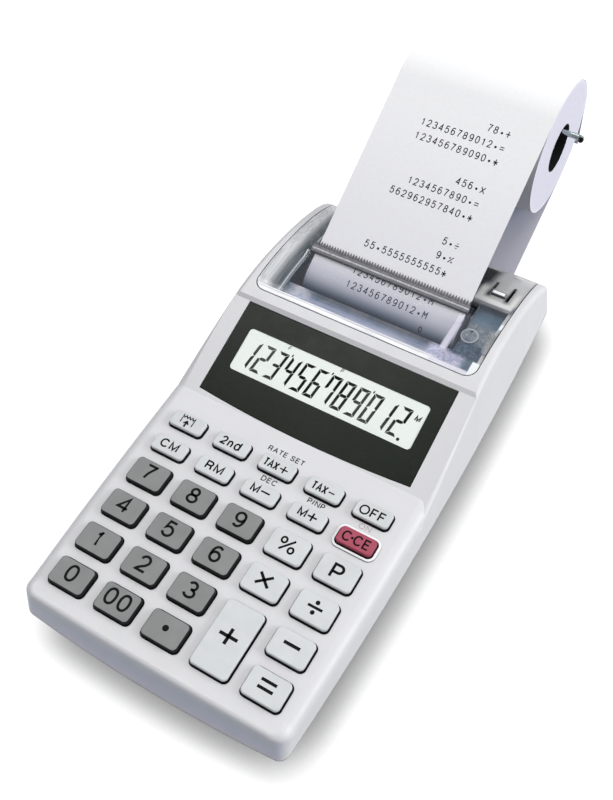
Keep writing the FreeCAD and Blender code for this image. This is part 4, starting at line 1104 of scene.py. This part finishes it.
# -------------------------------- paper ------------------------------------
class Track:
    def __init__(self, y, z, heading):
        self.p, self.h, self.steps = (y, z), heading, []
        self.start = (y, z, heading)

    def line(self, length):
        self.steps.append(("L", length, 0.0))
        a = math.radians(self.h)
        self.p = (self.p[0] + length * math.cos(a), self.p[1] + length * math.sin(a))
        return self

    def turn(self, radius, angle):
        self.steps.append(("T", radius, angle))
        g = 1 if angle > 0 else -1
        n = math.radians(self.h + 90 * g)
        c = (self.p[0] + radius * math.cos(n), self.p[1] + radius * math.sin(n))
        self.h += angle
        n = math.radians(self.h + 90 * g)
        self.p = (c[0] - radius * math.cos(n), c[1] - radius * math.sin(n))
        return self

    def length(self):
        return sum(a if k == "L" else abs(math.radians(b)) * a for k, a, b in self.steps)

    def at(self, s):
        """Point and heading at arc length s."""
        y, z, h = self.start
        for i, (k, a, b) in enumerate(self.steps):
            L = a if k == "L" else abs(math.radians(b)) * a
            d = min(max(s, 0.0), L) if s < L or i < len(self.steps) - 1 else s
            if k == "L":
                r = math.radians(h)
                y2, z2, h2 = y + d * math.cos(r), z + d * math.sin(r), h
            else:
                g = 1 if b > 0 else -1
                d = min(d, L)
                n = math.radians(h + 90 * g)
                c = (y + a * math.cos(n), z + a * math.sin(n))
                h2 = h + g * math.degrees(d / a)
                n = math.radians(h2 + 90 * g)
                y2, z2 = c[0] - a * math.cos(n), c[1] - a * math.sin(n)
            if s <= L or i == len(self.steps) - 1:
                return y2, z2, h2
            s -= L
            y, z, h = y2, z2, h2


def aim(p, c, radius):
    v = (c[0] - p[0], c[1] - p[1])
    d = math.hypot(v[0], v[1])
    return (math.degrees(math.atan2(v[1], v[0]) + math.asin(radius / d)), math.sqrt(d * d - radius * radius))


PY, PZ, PR = 56.0, 27.5, 10.6
RY, RZ, RR = 130.0, 53.0, 24.0
PAPER_R, ROLL_R, NIP = PR + 0.15, RR + 0.12, 225.0
PX0, PX1 = -29.7, 28.3


def tape_track():
    t = Track(PY + PAPER_R * math.cos(math.radians(NIP)), PZ + PAPER_R * math.sin(math.radians(NIP)), NIP - 90)
    t.turn(PAPER_R, -(NIP - 116.8))
    t.line(8.0)
    bend, h, length = 2.0, 0.0, 0.0
    for i in range(6):
        t2 = Track(t.p[0], t.p[1], t.h)
        t2.turn(60.0, bend)
        h, length = aim(t2.p, (RY, RZ), ROLL_R)
        bend = h - t.h
    t.turn(60.0, bend)
    t.line(length)
    t.turn(ROLL_R, -(t.h + 86.0))
    t.line(20.0)
    return t


def web_track():
    a = math.radians(26.0)
    w = Track(RY + ROLL_R * math.sin(a), RZ - ROLL_R * math.cos(a), 206.0)
    w.line(50.4)
    turn, h, length = -36.0, 0.0, 0.0
    for i in range(8):
        w2 = Track(w.p[0], w.p[1], w.h)
        w2.turn(12.0, turn)
        h, length = aim(w2.p, (PY, PZ), PAPER_R)
        turn = h - w.h
    w.turn(12.0, turn)
    w.line(length)
    w.turn(PAPER_R, -(w.h - (NIP - 90)))
    return w


def ribbon(name, track, thick, ds, cols, lift=None):
    """Thin closed sheet along a track."""
    L = track.length()
    n = int(math.ceil(L / ds))
    v, f = [], []
    for i in range(n + 1):
        s = L * i / n
        y, z, h = track.at(s)
        nn = math.radians(h + 90)
        for off in (0.02, thick):
            for c in range(cols + 1):
                x = PX0 + (PX1 - PX0) * c / cols
                o = off + (lift(x, s) if lift else 0.0)
                v.append(P(x, y + o * math.cos(nn), z + o * math.sin(nn)))
    w = cols + 1
    row = 2 * w
    for i in range(n):
        a, b = i * row, (i + 1) * row
        for c in range(cols):
            f.append((a + c, a + c + 1, b + c + 1, b + c))
            f.append((a + w + c + 1, a + w + c, b + w + c, b + w + c + 1))
        f.append((a, b, b + w, a + w))
        f.append((a + cols, a + w + cols, b + w + cols, b + cols))
    for a in (0, n * row):
        for c in range(cols):
            f.append((a + c, a + c + 1, a + w + c + 1, a + w + c))
    return mesh_object(name, v, f, "paper", True, 60.0)


TAPE = tape_track()
WEB = web_track()
tape = ribbon("printed_tape", TAPE, 0.12, 0.5, 8)
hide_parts("paper_tape")
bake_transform(tape)
web = ribbon("supply_web", WEB, 0.12, 1.0, 12)
paint(web, "web")
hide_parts("paper_web")
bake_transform(web)



def make_cutter():
    """Tear bar with fine teeth, on the slope of the cover's lip."""
    x0, x1, yb, tip, n = -31.4, 28.9, 58.2, 60.1, 57
    ring = [(x0, 56.0), (x1, 56.0), (x1, yb)]
    p = (x1 - x0) / n
    for i in range(n):
        x = x1 - i * p
        ring += [(x - 0.20 * p, yb + 0.15), (x - 0.52 * p, tip), (x - 0.68 * p, tip), (x - p, yb + 0.05)]
    k = len(ring)
    v = [P(x, y, 41.13 + (y - 56.0) * 0.345) for x, y in ring]
    v += [P(x, y, 40.24 + (y - 56.0) * 0.4235) for x, y in ring]
    f = [tuple(range(k)), tuple(range(2 * k - 1, k - 1, -1))]
    f += [(i, k + i, k + (i + 1) % k, (i + 1) % k) for i in range(k)]
    ob = mesh_object("tear_bar", v, f, "cutter", False)
    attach(ob, "cover")
    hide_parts("cutter")


make_cutter()


def make_seam():
    """Dark sheet painted as the shade in the gap between the cover and the case, seen from above."""
    def outline(dx, r):
        pts = []
        x, y0, y1 = 41.55 + dx, 33.52 - dx, 88.9
        pts.append((-x, y1))
        n = 40
        for i in range(1, n):
            pts.append((-x, y1 + (y0 + r - y1) * i / n))
        for i in range(13):
            a = math.radians(180 + 90 * i / 12)
            pts.append((-x + r + r * math.cos(a), y0 + r + r * math.sin(a)))
        for i in range(1, 40):
            pts.append((-x + r + (2 * x - 2 * r) * i / 40, y0))
        for i in range(13):
            a = math.radians(270 + 90 * i / 12)
            pts.append((x - r + r * math.cos(a), y0 + r + r * math.sin(a)))
        for i in range(1, n + 1):
            pts.append((x, y0 + r + (y1 - y0 - r) * i / n))
        return pts
    inner, outer = outline(-0.13, 3.93), outline(0.17, 4.2)
    v, f = [], []
    k = len(inner)
    for pts in (inner, outer):
        for x, y in pts:
            v.append(P(x, y, hump(y) - 0.30))
        for x, y in pts:
            v.append(P(x, y, hump(y) - 1.5))
    for i in range(k - 1):
        f += [(i, i + 1, 2 * k + i + 1, 2 * k + i), (k + i, 3 * k + i, 3 * k + i + 1, k + i + 1),
              (i, k + i, k + i + 1, i + 1), (2 * k + i, 2 * k + i + 1, 3 * k + i + 1, 3 * k + i)]
    for i in (0, k - 1):
        f.append((i, 2 * k + i, 3 * k + i, k + i))
    ob = mesh_object("cover_gap_shade", v, f, "seam", False)
    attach(ob, "root")


HUMP = [(29.8, 38.75), (33.5, 39.55), (40.0, 40.35), (46.0, 40.5), (52.0, 40.2), (58.0, 39.45), (64.0, 38.4),
        (70.0, 37.05), (76.0, 35.3), (82.0, 32.9), (87.5, 29.9), (91.3, 26.3)]


def hump(y):
    """Height of the case's crown, by a smooth curve through the section's points."""
    pts = curve(HUMP, 12)
    for (a, za), (b, zb) in zip(pts, pts[1:]):
        if a <= y <= b:
            return za + (zb - za) * (y - a) / (b - a)
    return pts[0][1] if y < pts[0][0] else pts[-1][1]


make_seam()

# printed lines: columns 2.27 mm apart, rows 5.17 mm apart
PRINT_ROWS = [(0, "O"), (1, "123456789012.M"), (2, "123456789012.M"), (4, "55.5555555555*"), (5, "9.%"), (6, "5./"),
              (8, "562962957840.*"), (9, "1234567890.="), (10, "456.X"), (12, "123456789090.*"),
              (13, "123456789012.="), (14, "78.+")]


def on_tape(u, v, w):
    y, z, h = TAPE.at(v)
    n = math.radians(h + 90)
    return P(u, y + (0.12 + w) * math.cos(n), z + (0.12 + w) * math.sin(n))


pr = Strokes("printed_figures", on_tape, 0.022, -0.03)
pr.step = 0.6
CH, CW, CT = 2.68, 1.54, 0.335


def print_glyph(ch, xc, s0):
    x = xc - CW / 2
    if ch in "0123456789":
        if ch == "1":
            pr.glyph("1", xc - 0.62, s0, CH, CT, 0.85)
        else:
            pr.glyph(ch, x, s0, CH, CT, CW)
    elif ch == ".":
        pr.disc(xc, s0 + 0.95, 0.44, 14)
    elif ch == "+":
        pr.stroke([(xc - 0.75, s0 + 1.1), (xc + 0.75, s0 + 1.1)], CT)
        pr.stroke([(xc + 0.05, s0 + 0.05), (xc + 0.05, s0 + 2.2)], CT)
    elif ch == "=":
        pr.stroke([(xc - 0.75, s0 + 1.55), (xc + 0.75, s0 + 1.55)], CT)
        pr.stroke([(xc - 0.75, s0 + 0.75), (xc + 0.75, s0 + 0.75)], CT)
    elif ch == "*":
        for a in (90, 30, 150):
            r = math.radians(a)
            k = 1.15 if a == 90 else 0.85
            pr.stroke([(xc - k * math.cos(r), s0 + 1.1 - k * math.sin(r)), (xc + k * math.cos(r), s0 + 1.1 + k * math.sin(r))], CT)
    elif ch == "X":
        pr.stroke([(xc - 0.7, s0 + 0.1), (xc + 0.7, s0 + 2.2)], CT)
        pr.stroke([(xc - 0.7, s0 + 2.2), (xc + 0.7, s0 + 0.1)], CT)
    elif ch == "/":
        pr.stroke([(xc - 0.7, s0 + 1.1), (xc + 0.7, s0 + 1.1)], CT)
        pr.disc(xc, s0 + 1.95, 0.22, 12)
        pr.disc(xc, s0 + 0.25, 0.22, 12)
    elif ch == "%":
        pr.stroke([(xc - 0.75, s0 + 0.1), (xc + 0.75, s0 + 2.2)], CT * 0.9)
        pr.disc(xc - 0.5, s0 + 1.75, 0.30, 12)
        pr.disc(xc + 0.5, s0 + 0.45, 0.30, 12)
    elif ch == "M":
        pr.stroke([(xc - 0.65, s0 + 0.1), (xc - 0.65, s0 + 2.35), (xc, s0 + 1.2), (xc + 0.65, s0 + 2.35), (xc + 0.65, s0 + 0.1)], CT)
    elif ch == "O":
        pr.stroke([(xc + 0.50 * math.cos(a), s0 + 1.3 + 0.95 * math.sin(a)) for a in
                   [2 * math.pi * i / 16 for i in range(17)]], CT)


for row, text in PRINT_ROWS:
    s0 = 15.45 + 5.165 * row - 1.30
    if row == 0:
        print_glyph("O", 16.05, s0)
        continue
    if row == 4:
        for i, ch in enumerate(text):
            print_glyph(ch, 15.6 - 2.27 * (len(text) - 1 - i), s0)
        continue
    k = text.index(".")
    for i, ch in enumerate(text):
        x = 13.5 + 2.27 * (i - k)
        print_glyph(ch, x, s0)
ob = pr.make("ink_print")
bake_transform(ob)


# ----------------------------- stage and light -----------------------------
def floor():
    m = M("floor").set(rough=0.9, spec=0.05)
    # painted shadow: ambient occlusion darkens the floor's colour and its glow close to the case; further out the glow
    # keeps the floor evenly white
    ao = m.n.new("ShaderNodeAmbientOcclusion")
    ao.samples = 16
    ao.inputs["Distance"].default_value = 0.0145
    f = m.ramp(ao.outputs["AO"], [(0.0, 0.08), (0.35, 0.22), (0.62, 0.50), (0.80, 0.80), (0.96, 1.0)])
    base = m.ramp(m.noise(3.0, 2.0), [(0.3, (0.31, 0.31, 0.312)), (0.7, (0.32, 0.32, 0.322))])
    mul = m.n.new("ShaderNodeMix")
    mul.data_type = "RGBA"
    mul.blend_type = "MULTIPLY"
    mul.inputs[0].default_value = 1.0
    m.link(base, mul.inputs[6])
    m.link(f, mul.inputs[7])
    m.color(mul.outputs[2])
    m.b.inputs["Emission Color"].default_value = (1.0, 1.0, 1.0, 1.0)
    m.link(m.math("MULTIPLY", f, 0.84), m.b.inputs["Emission Strength"])
    me = bpy.data.meshes.new("floor")
    s = 3.0
    me.from_pydata([(-s, -s, 0), (s, -s, 0), (s, s, 0), (-s, s, 0)], [], [(0, 1, 2, 3)])
    me.materials.append(m.m)
    ob = bpy.data.objects.new("floor", me)
    COLL.objects.link(ob)
    ob.visible_diffuse = False


floor()


def world():
    w = bpy.data.worlds.new("studio")
    scene.world = w
    w.use_nodes = True
    t = w.node_tree
    t.nodes.clear()
    out = t.nodes.new("ShaderNodeOutputWorld")
    bg = t.nodes.new("ShaderNodeBackground")
    tc = t.nodes.new("ShaderNodeTexCoord")
    sep = t.nodes.new("ShaderNodeSeparateXYZ")
    t.links.new(tc.outputs["Generated"], sep.inputs[0])
    ramp = t.nodes.new("ShaderNodeValToRGB")
    mr = t.nodes.new("ShaderNodeMapRange")
    mr.inputs[1].default_value, mr.inputs[2].default_value = -1.0, 1.0
    t.links.new(sep.outputs[2], mr.inputs[0])
    t.links.new(mr.outputs[0], ramp.inputs[0])
    el = ramp.color_ramp.elements
    el[0].position, el[0].color = 0.0, (0.20, 0.23, 0.30, 1)
    el[1].position, el[1].color = 0.45, (0.26, 0.29, 0.37, 1)
    e = el.new(0.62)
    e.color = (0.62, 0.63, 0.66, 1)
    e = el.new(0.85)
    e.color = (0.90, 0.90, 0.91, 1)
    bg.inputs["Strength"].default_value = 0.62
    t.links.new(ramp.outputs[0], bg.inputs[0])
    t.links.new(bg.outputs[0], out.inputs[0])


world()


def area(name, loc, target, size, energy, color=(1, 1, 1), size_y=None):
    li = bpy.data.lights.new(name, "AREA")
    li.energy = energy
    li.color = color
    li.shape = "RECTANGLE"
    li.size = size
    li.size_y = size_y or size
    ob = bpy.data.objects.new(name, li)
    COLL.objects.link(ob)
    ob.location = loc
    d = Vector(target) - Vector(loc)
    ob.rotation_euler = d.to_track_quat("-Z", "Y").to_euler()
    return ob


area("key_light", (-0.42, 0.16, 1.10), (0.0, 0.0, 0.0), 0.42, 3.15)
area("top_light", (0.12, 0.45, 1.20), (0.0, 0.0, 0.0), 0.9, 4.75)
area("right_fill", (1.15, 0.32, 0.50), (0.0, 0.0, 0.02), 0.8, 12.4, (0.985, 0.985, 1.0))
area("left_fill", (-1.05, -0.42, 0.40), (0.0, 0.0, 0.01), 0.6, 0.55)

scene.view_settings.view_transform = "Standard"
scene.view_settings.look = "None"
scene.view_settings.exposure = 0.0
scene.view_settings.gamma = 1.0
